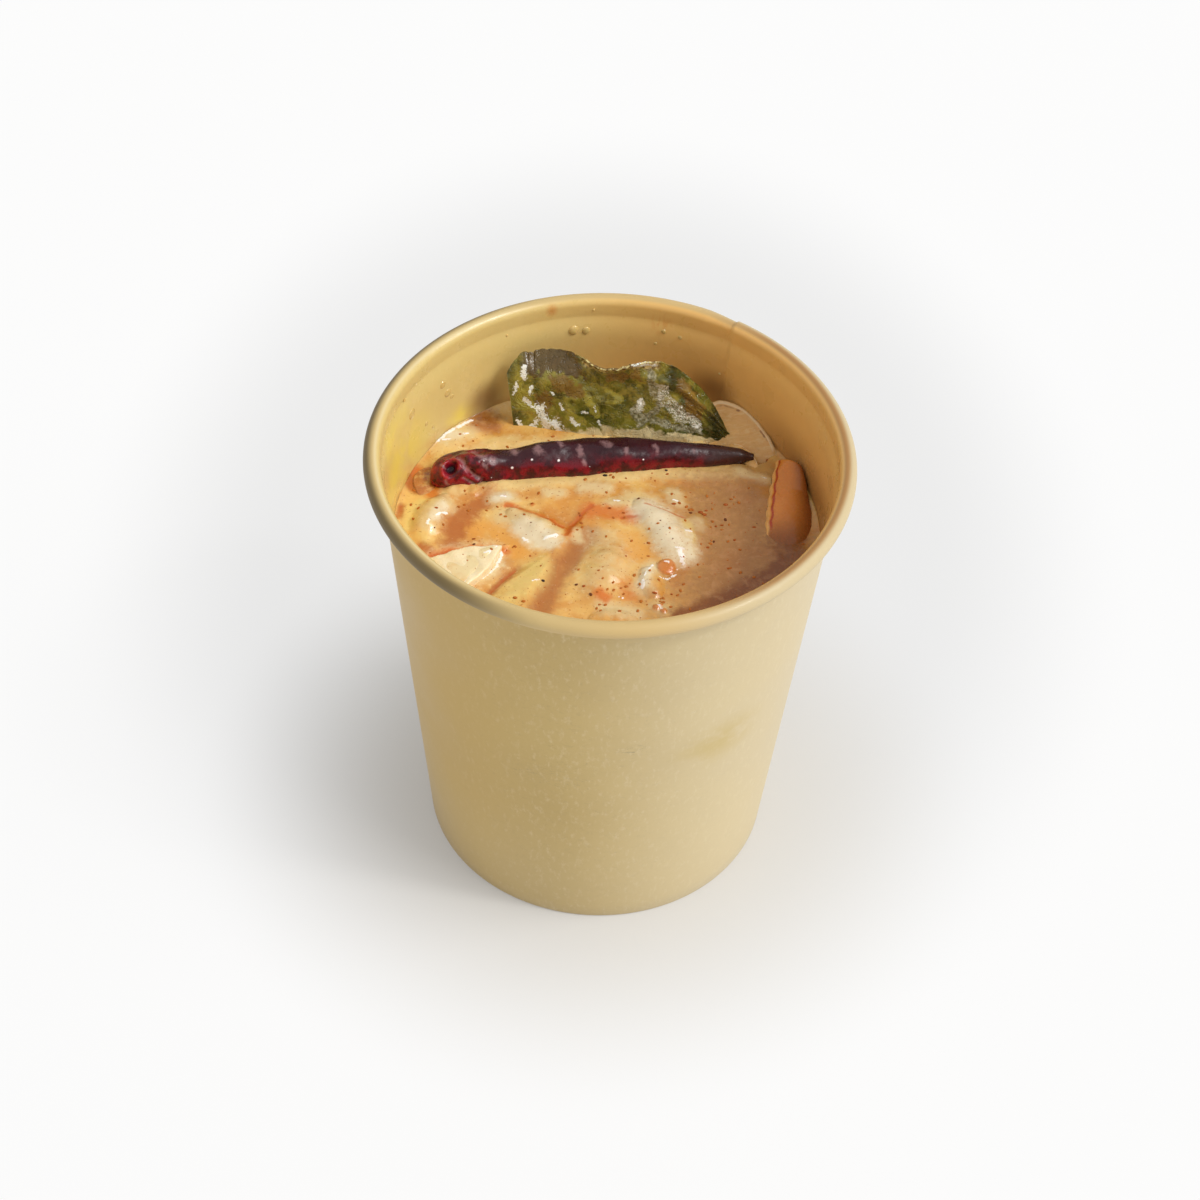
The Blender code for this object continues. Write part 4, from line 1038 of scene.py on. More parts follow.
def makeMushrooms():
    material = paintFlesh("mushroomFlesh", (246, 232, 196), (240, 218, 168), (226, 176, 104))
    for index, (name, (corners, _, (share, sunk))) in enumerate(mushrooms.items()):
        a, b, c = (np.array(p) for p in corners)
        # the long sides belly out a little
        outline = [a + np.array((-0.5, -0.8, 0)), a * 0.5 + b * 0.5 + np.array((0.3, 0.9, 0.25)),
                   b, b * 0.5 + c * 0.5 + np.array((-0.6, -0.5, 0.0)),
                   c, (a + c) / 2 + np.array((1.2, -0.7, 0.1))]
        centre = (a + b + c) / 3
        outline = [centre + (p - centre) * share - np.array((0, 0, sunk)) for p in outline]

        def relief(x, y, seed=index):
            return 0.16 * softNoise(x, y, 0, 2.4, 110 + seed, 2) + 0.10 * np.sin(1.6 * x + 0.7 * y + seed)

        piece = softSlab(name + "_flesh", outline, 3.3, 7, 0.28, material, relief)
        onFrame(piece, "mushroom_flesh", name)


makePrawns()
makeMushrooms()
say("prawns and mushrooms ready")

leaf = {
    "left": -22.2, "right": 24.6, "y": 29.0, "root": 73.5, "root rise": 5.4, "tuck": 2.4, "crest": 24.6,
    # about how long and how tall it is, for wrinkles and blotches of the right size
    "span": 47, "rise": 24,
    "thickness": 0.55, "lean": 13.0, "columns": 260, "rows": 120,
    # how much taller or shorter the crown is along the leaf
    "crown": [(0, 0), (0.06, 0), (0.116, -0.9), (0.124, 0.9), (0.19, 1.3), (0.27, 0.9), (0.33, -0.8),
              (0.38, -1.9), (0.41, -2.8), (0.44, -2.6), (0.49, -0.9), (0.55, 0.9), (0.60, 0.5), (0.64, -0.4),
              (0.70, -1.2), (0.77, -2.3), (0.84, -3.8), (0.89, -4.0), (0.98, -3.2), (1.0, -2.6)],
    # painted highlights (wet glints), yellow and brown blotches, the pale vein and the crinkled froth: places
    # on the blade as shares of its length and height, half width in mm
    "paintedGlints": [([(0.10, 0.28), (0.12, 0.36)], 0.5), ([(0.135, 0.47), (0.155, 0.37), (0.17, 0.29)], 1.25),
            ([(0.20, 0.36), (0.225, 0.29)], 1.05), ([(0.28, 0.42), (0.31, 0.36)], 0.45),
            ([(0.07, 0.87), (0.067, 0.78)], 0.55), ([(0.03, 0.78), (0.02, 0.70)], 0.4),
            ([(0.06, 0.56), (0.09, 0.50)], 0.5), ([(0.1, 0.70), (0.09, 0.62)], 0.35),
            ([(0.19, 0.66), (0.2, 0.63)], 0.3), ([(0.23, 0.55), (0.245, 0.50)], 0.3),
            ([(0.56, 0.985), (0.655, 0.965)], 0.5), ([(0.6, 0.61), (0.6, 0.55)], 0.35),
            ([(0.33, 0.49), (0.36, 0.49)], 0.25), ([(0.39, 0.56), (0.4, 0.52)], 0.25),
            ([(0.41, 0.42), (0.42, 0.38)], 0.3), ([(0.87, 0.38), (0.855, 0.30)], 0.35),
            ([(0.02, 0.40), (0.03, 0.30)], 0.4), ([(0.06, 0.24), (0.09, 0.30)], 0.4)],
    "yellow": [([(0.02, 0.80), (0.04, 0.60), (0.09, 0.46)], 1.7), ([(0.10, 0.36), (0.2, 0.30)], 1.3),
               ([(0.45, 0.70), (0.50, 0.63)], 0.65), ([(0.36, 0.62), (0.40, 0.50)], 1.0),
               ([(0.27, 0.45), (0.33, 0.38)], 0.9), ([(0.60, 0.80), (0.55, 0.86)], 1.0),
               ([(0.88, 0.62), (0.82, 0.80)], 1.0)],
    "brown": [([(0.15, 0.56), (0.16, 0.48)], 1.5), ([(0.79, 0.86), (0.84, 0.66), (0.83, 0.52)], 2.0),
              ([(0.47, 0.86), (0.58, 0.84)], 1.0), ([(0.22, 0.74), (0.32, 0.68)], 1.3)],
    "band": [([(0.633, 0.93), (0.65, 0.74), (0.692, 0.61), (0.675, 0.49), (0.60, 0.37)], 0.75),
             ([(0.60, 0.57), (0.575, 0.51), (0.60, 0.44)], 0.8),
             ([(0.66, 0.40), (0.76, 0.28), (0.86, 0.24)], 0.7)],
    "foam": [([(0.69, 0.74), (0.71, 0.60)], 1.0), ([(0.72, 0.57), (0.775, 0.48), (0.80, 0.40)], 1.4),
             ([(0.84, 0.44), (0.86, 0.30)], 0.9), ([(0.60, 0.60), (0.60, 0.52)], 0.6)],
    # how far up the soup reaches on the blade
    "foot": [(0, 0.19), (0.067, 0.20), (0.25, 0.285), (0.36, 0.31), (0.438, 0.385), (0.517, 0.34),
             (0.617, 0.345), (0.70, 0.27), (0.754, 0.22), (0.904, 0.14), (1.0, 0.14)],
}


def runningSum(steps):
    # sums along each row, starting from nothing
    return np.cumsum(np.concatenate([np.zeros((len(steps), 1)), steps[:, :-1]], axis=1), axis=1)


def leafSheet(u, v):
    # the blade's middle surface: u runs left to right, v from the root line up to the crown
    root = leaf["root"] + leaf["root rise"] * easeIn((u - 0.52) / 0.3, 0, 1)
    length = leaf["crest"] + 2.2 * bell(u, 0.63, 0.16) - 0.8 * bell(u, 0.14, 0.14)
    length = length - 5.5 * np.maximum(1 - u / 0.09, 0) ** 2 - 16.5 * np.maximum((u - 0.7) / 0.3, 0) ** 2.4
    length = length - (root - leaf["root"])
    # a torn, scalloped crown that dips in the middle
    length = length + np.interp(u, *zip(*leaf["crown"])) * easeIn(v, 0.0, 1.0)
    scallops = 0.9 * (np.abs(np.sin(u * 62 + 1.5 * np.sin(u * 9))) - 0.5) * bell(u, 0.08, 0.07)
    torn = 0.55 * softNoise(u * leaf["span"], 0, 3, 2.4, 120, 3) + scallops
    torn = torn + 0.5 * softNoise(u * leaf["span"], 0, 9, 0.8, 121, 2) * (0.4 + bell(u, 0.5, 0.16))
    length = length + torn * easeIn(v, 0.6, 1.0)
    base = leaf["y"] - 2.0 * np.sin(math.pi * u) + 0.9 * np.sin(2 * math.pi * u + 0.5)
    curl = 10 + 50 * bell(u, 0.17, 0.15) - 36 * bell(u, 0.52, 0.15)
    bend = np.radians(leaf["lean"] + curl * easeIn((v - 0.66) / 0.34, 0, 1))
    step = length / (v.shape[1] - 1)
    y = base + runningSum(step * np.sin(bend))
    z = root + runningSum(step * np.cos(bend))
    x = leaf["left"] + (leaf["right"] - leaf["left"]) * u + leaf["tuck"] * (1 - u) ** 3 * (1 - v)
    y = y + 0.5 * np.sin(9 * u + 5 * v) * v
    z = z + 0.35 * torn * easeIn(v, 0.8, 1.0)
    return x, y, z


def paintLeaf():
    paint = Paint("cookedLeaf", roughness=0.25, Coat_Weight=0.4, Coat_Roughness=0.06)
    ragged = paint.swing(2.2, 0.5, detail=4.0, roughness=0.6, distortion=0.6)
    fineRagged = paint.swing(3.4, 1.25, distortion=1.2)

    def patch(name, edge, low=0.1, high=0.5):
        return paint.ease(paint.plus(paint.mark(name), edge), low, high)

    cloud = paint.noise(0.16, detail=4.0, distortion=0.5)
    color = paint.mix(paint.ease(cloud, 0.32, 0.66), (70, 74, 18), (142, 132, 46))
    mottle = paint.noise(0.45, detail=4.0, roughness=0.6)
    color = paint.mix(paint.ease(mottle, 0.50, 0.68, 0.0, 0.6), color, (168, 148, 62))
    deep = paint.noise(0.34, detail=3.0, distortion=0.8)
    color = paint.mix(paint.ease(deep, 0.56, 0.70, 0.0, 0.7), color, (52, 50, 16))
    veins = paint.gap(paint.noise(0.3, detail=2.0, distortion=1.6), 0.5)
    color = paint.mix(paint.ease(veins, 0.0, 0.02, 0.4, 0.0), color, (150, 142, 76))
    color = paint.mix(paint.times(patch("yellow", ragged), 0.65), color, (180, 166, 66))
    color = paint.mix(paint.times(patch("brown", ragged), 0.75), color, (128, 92, 40))
    crown = paint.mix(paint.noise(0.5, detail=3.0), (62, 48, 22), (108, 80, 36))
    color = paint.mix(paint.times(paint.mark("fold"), 0.92), color, crown)
    color = paint.mix(paint.times(paint.mark("dark"), 0.85), color, (38, 42, 16))
    crumbs = paint.noise(1.0, detail=4.0, roughness=0.7)
    creamy = paint.mix(paint.ease(crumbs, 0.4, 0.62), (112, 106, 74), (196, 190, 160))
    color = paint.mix(paint.times(patch("band", ragged, 0.0, 0.5), 0.85), color, creamy)
    edge = paint.mix(paint.ease(crumbs, 0.46, 0.54), (124, 96, 48), (226, 208, 140))
    color = paint.mix(paint.mark("edge"), color, edge)
    net = paint.gap(paint.noise(0.9, detail=2.0, distortion=2.4), 0.5)
    net = paint.plus(paint.ease(net, 0.02, 0.06, 1.0, 0.0), 0.12)
    color = paint.mix(paint.times(patch("foam", ragged, 0.0, 0.4), net), color, (236, 232, 214))
    # painted highlights
    color = paint.mix(patch("paintedGlints", fineRagged, 0.25, 0.6), color, (250, 251, 240))
    foot = paint.mix(crumbs, (206, 178, 118), (240, 224, 178))
    color = paint.mix(paint.mark("foot"), color, foot)
    roughness = paint.ease(mottle, 0.3, 0.7, 0.16, 0.36)
    height = paint.plus(mottle, paint.times(paint.ease(veins, 0.0, 0.05), 0.4))
    return paint.finish(color, roughness, height, distance=0.4, strength=0.7)


def makeLeaf():
    nu, nv = leaf["columns"], leaf["rows"]
    u, v = np.meshgrid(np.linspace(0, 1, nu), np.linspace(0, 1, nv), indexing="ij")
    sheet = np.stack(leafSheet(u, v), axis=2)
    normal = np.cross(np.gradient(sheet, axis=1), np.gradient(sheet, axis=0))
    normal /= np.maximum(np.linalg.norm(normal, axis=2, keepdims=True), 1e-9)
    across, upwards = u * leaf["span"], v * leaf["rise"]

    def wrinkles(size, seed, octaves):
        return softNoise(across, upwards, 0, size, seed, octaves)

    # wrinkles: soft folds everywhere, tight crinkles at the right
    crinkled = bell(u, 0.77, 0.09) * bell(v, 0.45, 0.3)
    bumps = 0.45 * wrinkles(4.5, 131, 2) + 0.22 * wrinkles(1.8, 132, 2)
    bumps += 0.30 * crinkled * wrinkles(0.9, 133, 2)
    bumps += 0.55 * bell(v - 1.25 * (u - 0.62), 0.95 - 1.6 * (u - 0.55), 0.06) * easeIn(u, 0.5, 0.6)
    roll = bell(u, 0.47, 0.16) * easeIn(v, 0.93, 1.0)
    sheet = sheet - normal * (bumps + 0.9 * roll)[:, :, None]
    half = leaf["thickness"] / 2
    front, back = sheet - normal * half, sheet + normal * half
    wobble, mottled = 0.08 * wrinkles(3.0, 135, 3), 0.05 * wrinkles(0.9, 137, 2)

    def strokes(name, shift):
        x, y = across + shift * wrinkles(1.6, 138, 2), upwards + shift * wrinkles(1.6, 139, 2)
        fields = []
        for path, width in leaf[name]:
            path = [(leaf["span"] * a, leaf["rise"] * b) for a, b in path]
            fields.append(strokeField(x, y, path, width * 1.5))
        return np.maximum.reduce(fields)

    shifts = {"paintedGlints": 0.35, "yellow": 0.8, "brown": 0.8, "band": 0.5, "foam": 0.5}
    marks = {name: strokes(name, shift) for name, shift in shifts.items()}
    fold = easeIn(v + 0.25 * wobble + mottled, 0.795, 0.825) * easeIn(u, 0.045, 0.08)
    dark = bell(u, 0.945, 0.05) + 0.6 * bell(u, 0.01, 0.02)
    dark = dark + 0.9 * bell(u, 0.735, 0.025) * easeIn(v, 0.7, 0.85)
    edge = easeIn(u + 0.3 * wobble, 0.33, 0.36) * easeIn(u, 0.69, 0.66)
    marks.update({
        "fold": fold * easeIn(u + 0.5 * wobble, 0.35, 0.32),
        "dark": np.clip(dark, 0, 1),
        "edge": edge * easeIn(v + 0.5 * mottled, 0.915, 0.945),
        "foot": easeIn(v - np.interp(u, *zip(*leaf["foot"])) + mottled, 0.015, -0.02),
    })
    piece = twoSheets("lime_leaf_blade", front, back, paintLeaf(), marks)
    onFrame(piece, "leaf_green", "lime_leaf")


makeLeaf()
say("leaf ready")

chilli = {
    "left": (-37.0, 13.2, 81.2), "tip": (30.0, 23.2, 80.9), "bow": 2.3, "radius": 4.3, "blunt": 0.048,
    "rings": 330, "sides": 116,
    # rings of the blunt end; about how long and how thick the pod is, for spots of the right size
    "blunt rings": 40, "span": 67, "girth": 4,
    # the torn hollow in the blunt end: share of the length, turn in degrees, half length, half width, depth
    "hollow": (0.064, 122, 1.35, 1.6, 1.5),
    # swollen folds of skin: share, turn, half length, half width, rise
    "folds": [(0.19, 160, 1.5, 2.3, 0.65), (0.135, 194, 1.7, 1.6, 0.7), (0.12, 108, 1.3, 1.8, 0.35),
              (0.15, 132, 0.9, 1.6, 0.45), (0.165, 186, 0.5, 1.2, -0.8), (0.10, 72, 1.5, 1.5, 0.4),
              (0.055, 168, 1.0, 1.2, 0.35), (0.16, 80, 1.6, 1.6, -0.35), (0.225, 120, 1.4, 2.0, -0.35),
              (0.27, 150, 2.0, 1.6, 0.3)],
    # pale creases, partly painted sheen and glints along them: share of the length and turn in degrees, half
    # width, sunk depth
    "creases": [([(0.085, 90), (0.104, 114), (0.114, 130), (0.130, 149), (0.152, 166)], 0.34, 0.45),
                ([(0.105, 157), (0.130, 180), (0.152, 190), (0.164, 172)], 0.24, 0.4),
                ([(0.127, 55), (0.15, 100), (0.174, 116), (0.194, 116)], 0.55, 0.2),
                ([(0.165, 125), (0.175, 137)], 0.35, 0.2), ([(0.034, 98), (0.045, 116)], 0.28, 0.1),
                ([(0.05, 156), (0.06, 176)], 0.28, 0.1), ([(0.25, 70), (0.258, 88)], 0.7, 0.0),
                ([(0.326, 90), (0.336, 104)], 0.75, 0.0), ([(0.39, 72), (0.40, 88)], 0.5, 0.0),
                ([(0.455, 96), (0.462, 122)], 0.55, 0.0), ([(0.47, 140), (0.474, 150)], 0.35, 0.0),
                ([(0.53, 84), (0.55, 98)], 0.6, 0.0), ([(0.60, 110), (0.604, 124)], 0.4, 0.0),
                ([(0.69, 96), (0.70, 120)], 0.5, 0.0), ([(0.81, 110), (0.812, 124)], 0.3, 0.0)],
    # small wet glints: share, turn, radius
    "glints": [(0.252, 146, 0.42), (0.312, 126, 0.38), (0.394, 136, 0.40), (0.165, 118, 0.25),
               (0.19, 168, 0.22), (0.49, 158, 0.25), (0.655, 146, 0.3), (0.70, 150, 0.2)],
}


def chilliPoint(t, turn, scale, lift):
    # a point of the skin at a share t of the length, turned from the back (0) over the top (90 degrees)
    left, tip = np.array(chilli["left"]), np.array(chilli["tip"])
    centre = left + (tip - left) * t[..., None]
    centre[..., 1] += 4 * chilli["bow"] * t * (1 - t)
    taper = 1 - 0.7 * np.maximum((t - 0.5) / 0.5, 0) ** 1.6
    waist, end = 0.98 - 0.17 * bell(t, 0.25, 0.06), 1 - 0.45 * easeIn(t, 0.955, 1.0)
    width = chilli["radius"] * taper * waist * end
    depth = 0.03 + 0.07 * bell(t, 0.14, 0.12)
    folds = np.sin(3 * turn + 11 * t) + 0.6 * np.sin(5 * turn - 17 * t + 1)
    width = width * (1 + depth * folds + 0.05 * np.sin(31 * t) * np.sin(2 * turn + 1.3))
    # fine shrivelled skin
    fine = softNoise(t * 60, np.cos(turn) * 3, np.sin(turn) * 3, 2.0, 150, 3)
    loose = 0.22 * bell(t, 0.15, 0.1) * softNoise(t * 70, np.cos(turn) * 4, np.sin(turn) * 4, 1.6, 151, 2)
    width = width * scale + (0.16 * fine + loose) * taper * scale + lift
    return centre + np.stack([np.zeros_like(t), width * np.cos(turn), width * np.sin(turn)], axis=-1)


def paintChilli():
    paint = Paint("driedChilli", roughness=0.3, Specular_IOR_Level=0.38, Coat_Weight=0.1, Coat_Roughness=0.1)
    cloud = paint.noise(0.22, detail=4.0)
    ragged = paint.swing(1.7, 1.0, distortion=1.0)
    color = paint.mix(cloud, (30, 6, 12), (66, 14, 26))
    crimson = paint.mix(paint.ease(paint.noise(0.5, detail=3.0), 0.38, 0.62), (66, 4, 16), (142, 8, 32))
    color = paint.mix(paint.times(paint.mark("crimson"), 0.92), color, crimson)
    torn = paint.times(paint.mark("lip"), paint.ease(paint.noise(0.9, detail=3.0), 0.36, 0.6))
    color = paint.mix(paint.times(torn, 0.8), color, (186, 40, 36))
    color = paint.mix(paint.times(paint.mark("tip"), 0.8), color, (60, 34, 28))
    color = paint.mix(paint.mark("inside"), color, (34, 14, 24))
    # pale creases, partly painted sheen and glints
    creases = paint.plus(paint.mark("crease"), ragged)
    color = paint.mix(paint.ease(creases, 0.1, 1.0, 0.0, 0.5), color, (172, 132, 132))
    glints = paint.plus(paint.mark("glint"), paint.times(ragged, 0.5))
    color = paint.mix(paint.ease(glints, 0.2, 0.6), color, (248, 238, 236))
    skin = paint.noise(0.6, detail=4.0)
    return paint.finish(color, paint.ease(skin, 0.3, 0.7, 0.2, 0.42), skin, distance=0.25, strength=0.5)


def makeChilli():
    rings, blunt, crowd = chilli["rings"], chilli["blunt"], chilli["blunt rings"]
    span, perDegree = chilli["span"], math.pi / 180
    turn = np.linspace(0, 2 * math.pi, chilli["sides"], endpoint=False)[None, :]
    # rings crowd together round the blunt end
    share = blunt * (1 - np.cos(np.linspace(0.03, math.pi / 2, crowd)))
    share = np.concatenate([share, np.linspace(blunt, 1, rings - crowd + 1)[1:]])[:, None]
    scale = np.sqrt(np.clip(1 - (1 - np.minimum(share / blunt, 1)) ** 2, 0, 1)) ** 0.85
    scale = scale * (0.86 + 0.14 * easeIn(share, 0.02, 0.12))
    t, turns = share * np.ones_like(turn), turn * np.ones_like(share)
    degrees = np.degrees(turns)

    def place(at, middle, half, wide):
        # how far from a spot on the skin, 1 at its edge
        return np.hypot((t - at) * span / half, (degrees - middle) * perDegree * chilli["girth"] / wide)

    lift = sum(spot[4] * np.exp(-place(*spot[:4]) ** 2) for spot in chilli["folds"])
    away = place(*chilli["hollow"][:4])
    lift = lift - chilli["hollow"][4] * easeIn(away, 1.15, 0.45) + 0.35 * bell(away, 1.35, 0.3)
    wander = softNoise(t * 60, np.cos(turns) * 3, np.sin(turns) * 3, 4.0, 161, 2)
    along, around = t * span + 0.2 * wander, degrees * perDegree * chilli["girth"]
    creases = []
    for path, width, sunk in chilli["creases"]:
        path = [(span * a, b * perDegree * chilli["girth"]) for a, b in path]
        creases.append(strokeField(along, around, path, width * 2))
        lift = lift - sunk * easeIn(creases[-1], -0.2, 0.9)
    points = chilliPoint(t, turns, scale, lift * scale ** 0.5)
    lip = bell(away, 1.35, 0.35) * easeIn(t, 0.10, 0.06) + 0.8 * easeIn(t, 0.035, 0.0)
    crimson = easeIn(degrees + 22 * wander, 108, 186) * easeIn(degrees, 285, 235) * easeIn(t, 0.98, 0.86)
    glints = [1 - place(at, middle, radius, radius) for at, middle, radius in chilli["glints"]]
    marks = {
        "inside": easeIn(away + 0.1 * wander, 1.0, 0.6),
        "lip": np.clip(lip, 0, 1),
        "crimson": np.clip(crimson + 0.85 * easeIn(t + 0.02 * wander, 0.22, 0.12), 0, 1),
        "tip": easeIn(t + 0.02 * wander, 0.74, 0.93),
        "crease": np.maximum.reduce(creases),
        "glint": np.maximum.reduce(glints).clip(-1.5, 1),
    }
    piece = loftPiece("dried_chilli_pod", points, paintChilli(), marks)
    onFrame(piece, "chilli_skin", "dried_chilli")


makeChilli()
say("chilli ready")

tomato = {
    # along the wedge from the back to the front: left edge x, y, z, then right edge x, y, z
    "edges": [((34.6, 20.6, 83.2), (39.8, 17.6, 84.7)), ((34.0, 18.0, 82.2), (40.6, 14.8, 83.3)),
              ((33.3, 14.0, 81.3), (41.3, 11.6, 81.5)), ((32.7, 9.0, 81.0), (41.9, 8.0, 80.9)),
              ((32.3, 4.0, 80.7), (42.0, 4.2, 80.4)), ((32.2, 1.4, 80.1), (41.6, 0.6, 79.6)),
              ((33.0, -1.6, 78.9), (40.6, -3.4, 78.3))],
    "bulge": 1.1, "thickness": 5.0, "rows": 90, "columns": 60,
}


def stayInside(sheet, gap):
    # draws a sheet's points in until they stand clear of the paper
    most = wallRadius(sheet[:, :, 2]) - cup["paper"] - gap
    share = np.minimum(1, most / np.hypot(sheet[:, :, 0], sheet[:, :, 1]))
    sheet[:, :, :2] *= share[:, :, None]


def paintTomato():
    paint = Paint("tomatoSkin", 0.34, Coat_Weight=0.06, Coat_Roughness=0.1, **glowInside(0.1, 3.0, 1.5, 0.8))
    across, along = paint.mark("across"), paint.mark("along")
    color = paint.mix(paint.noise(0.16, detail=4.0), (214, 128, 44), (234, 150, 60))
    # painted shade: darker towards the wall at the right and towards the front end
    color = paint.mix(paint.ease(across, 0.4, 0.95, 0.0, 0.82), color, (134, 68, 20))
    color = paint.mix(paint.ease(along, 0.5, 0.95, 0.0, 0.9), color, (146, 84, 30))
    color = paint.mix(paint.ease(across, 0.11, 0.04, 0.0, 0.9), color, (250, 190, 112))
    # a wavy red line near its left edge
    wavy = paint.plus(paint.minus(across, 0.125), paint.swing(0.09, 0.32, detail=2.0))
    line = paint.times(paint.ease(paint.gap(wavy, 0.0), 0.012, 0.04, 1.0, 0.0), paint.ease(along, 0.82, 0.7))
    color = paint.mix(paint.times(line, 0.9), color, (176, 52, 18))
    fine = paint.noise(0.8, detail=4.0)
    return paint.finish(color, paint.ease(fine, 0.3, 0.7, 0.18, 0.34), fine, distance=0.08, strength=0.35)


def makeTomato():
    rows, columns = tomato["rows"], tomato["columns"]
    s, w = np.meshgrid(np.linspace(0, 1, rows), np.linspace(0, 1, columns), indexing="ij")
    given, edges = np.linspace(0, 1, len(tomato["edges"])), np.array(tomato["edges"])
    left, right = (np.stack([np.interp(s[:, 0], given, edges[:, side, k]) for k in range(3)], axis=1)
                   for side in (0, 1))
    top = left[:, None, :] * (1 - w[:, :, None]) + right[:, None, :] * w[:, :, None]
    rounded = np.sqrt(np.clip(1 - np.abs(2 * w - 1) ** 5, 0, 1))
    rounded = rounded * np.sqrt(np.clip(1 - np.abs(2 * s - 1) ** 12, 0, 1))
    top[:, :, 2] += tomato["bulge"] * (np.sin(math.pi * w) ** 0.7) + 0.8 * (rounded - 1)
    top[:, :, 2] += 0.08 * softNoise(top[:, :, 0], top[:, :, 1], 0, 2.5, 170, 2)
    top[:, :, 0] -= 0.12 * np.sin(1.9 * top[:, :, 1]) * (1 - w)
    stayInside(top, 0.06)
    bottom = top.copy()
    middle = top.reshape(-1, 3).mean(axis=0)
    bottom[:, :, :2] = middle[:2] + (top[:, :, :2] - middle[:2]) * 0.93
    bottom[:, :, 2] = top[:, :, 2] - 0.35 - tomato["thickness"] * rounded
    piece = twoSheets("tomato_wedge_skin", top, bottom, paintTomato(), {"across": w, "along": s})
    onFrame(piece, "tomato_skin", "tomato_wedge")


def paintSlice():
    glow = glowInside(0.1, 2.0, 1.5, 1.0)
    paint = Paint("galangalFlesh", 0.38, Coat_Weight=0.05, Coat_Roughness=0.15, **glow)
    color = paint.mix(paint.noise(0.3, detail=4.0), (214, 158, 84), (238, 190, 116))
    strands = paint.noise(0.9, detail=4.0, roughness=0.65, stretch=(0.5, 1.6, 0.6), distortion=0.5)
    color = paint.mix(paint.ease(strands, 0.5, 0.66, 0.0, 0.5), color, (240, 206, 146))
    color = paint.mix(paint.ease(paint.mark("skin"), 0.3, 0.8, 0.0, 0.8), color, (138, 78, 32))
    # a pale lip along the upper edge, partly a painted highlight
    color = paint.mix(paint.ease(paint.mark("lip"), 0.4, 0.9, 0.0, 0.9), color, (244, 212, 164))
    roughness = paint.ease(strands, 0.3, 0.7, 0.22, 0.42)
    return paint.finish(color, roughness, strands, distance=0.15, strength=0.5)


def paintFlap():
    paint = Paint("chilliFlap", roughness=0.25, Coat_Weight=0.5, Coat_Roughness=0.1)
    color = paint.mix(paint.noise(0.5, detail=4.0), (150, 82, 34), (198, 128, 62))
    color = paint.mix(paint.ease(paint.noise(0.7, detail=4.0), 0.46, 0.62, 0.0, 0.7), color, (212, 164, 92))
    fine = paint.noise(0.9, detail=4.0)
    return paint.finish(color, paint.ease(fine, 0.3, 0.7, 0.16, 0.36), fine, distance=0.2, strength=0.6)


def makeSlices():
    finishes = {"torn_chilli_skin": paintFlap()}
    galangal = paintSlice()
    for index, (name, spec) in enumerate(slices.items()):
        _, (halfUp, halfAlong, thickness), _, slot = spec
        a, b = evenDisc(64)
        lobes = 1 + 0.07 * np.sin(3 * np.arctan2(b, a) + index)
        outline = lobes + 0.05 * softNoise(3 * a, 3 * b, 0, 0.9, 180 + index, 2)
        edge = np.hypot(a, b)
        up, along = a * halfUp * outline, b * halfAlong * outline
        relief = 0.16 * softNoise(up, along, 0, 1.6, 190 + index, 2) - 0.25 * (up / halfUp) ** 2
        worn = np.sqrt(np.clip(1 - edge ** 6, 0, 1))
        # the pale raised lip along the upper edge, partly a painted highlight
        lip = bell(edge, 0.93, 0.07) * easeIn(a, 0.0, 0.5)
        stand, sheets = np.array(sliceFrame(spec)), []
        for face, gap in ((1, 0.06), (-1, 0.22)):
            height = relief + face * (thickness / 2 * worn + 0.02) + 0.15 * lip * face
            local = np.stack([up, along, height, np.ones_like(up)], axis=2)
            sheet = (local @ stand.T)[:, :, :3]
            stayInside(sheet, gap)
            sheets.append(sheet)
        skin = bell(edge, 0.84, 0.05) * easeIn(a, 0.0, 0.5) * (0.5 + softNoise(up, along, 0, 1.2, 195, 2))
        piece = twoSheets(name + "_piece", *sheets, finishes.get(slot, galangal), {"skin": skin, "lip": lip})
        onFrame(piece, slot, name)


makeTomato()
makeSlices()
say("tomato and slices ready")


def putBalls(tree, out, points, detail, turned, scale, material):
    # a stretched ball on every point, all of them made real
    ball = addNode(tree, "GeometryNodeMeshIcoSphere", {"Radius": 1.0, "Subdivisions": detail}).outputs["Mesh"]
    placed = addNode(tree, "GeometryNodeInstanceOnPoints", {
        "Points": points, "Instance": ball, "Rotation": turned, "Scale": scale}).outputs[0]
    real = addNode(tree, "GeometryNodeRealizeInstances", {0: placed}).outputs[0]
    dressed = addNode(tree, "GeometryNodeSetMaterial", {"Geometry": real, "Material": material}).outputs[0]
    tree.links.new(dressed, out["Geometry"])
    return tree


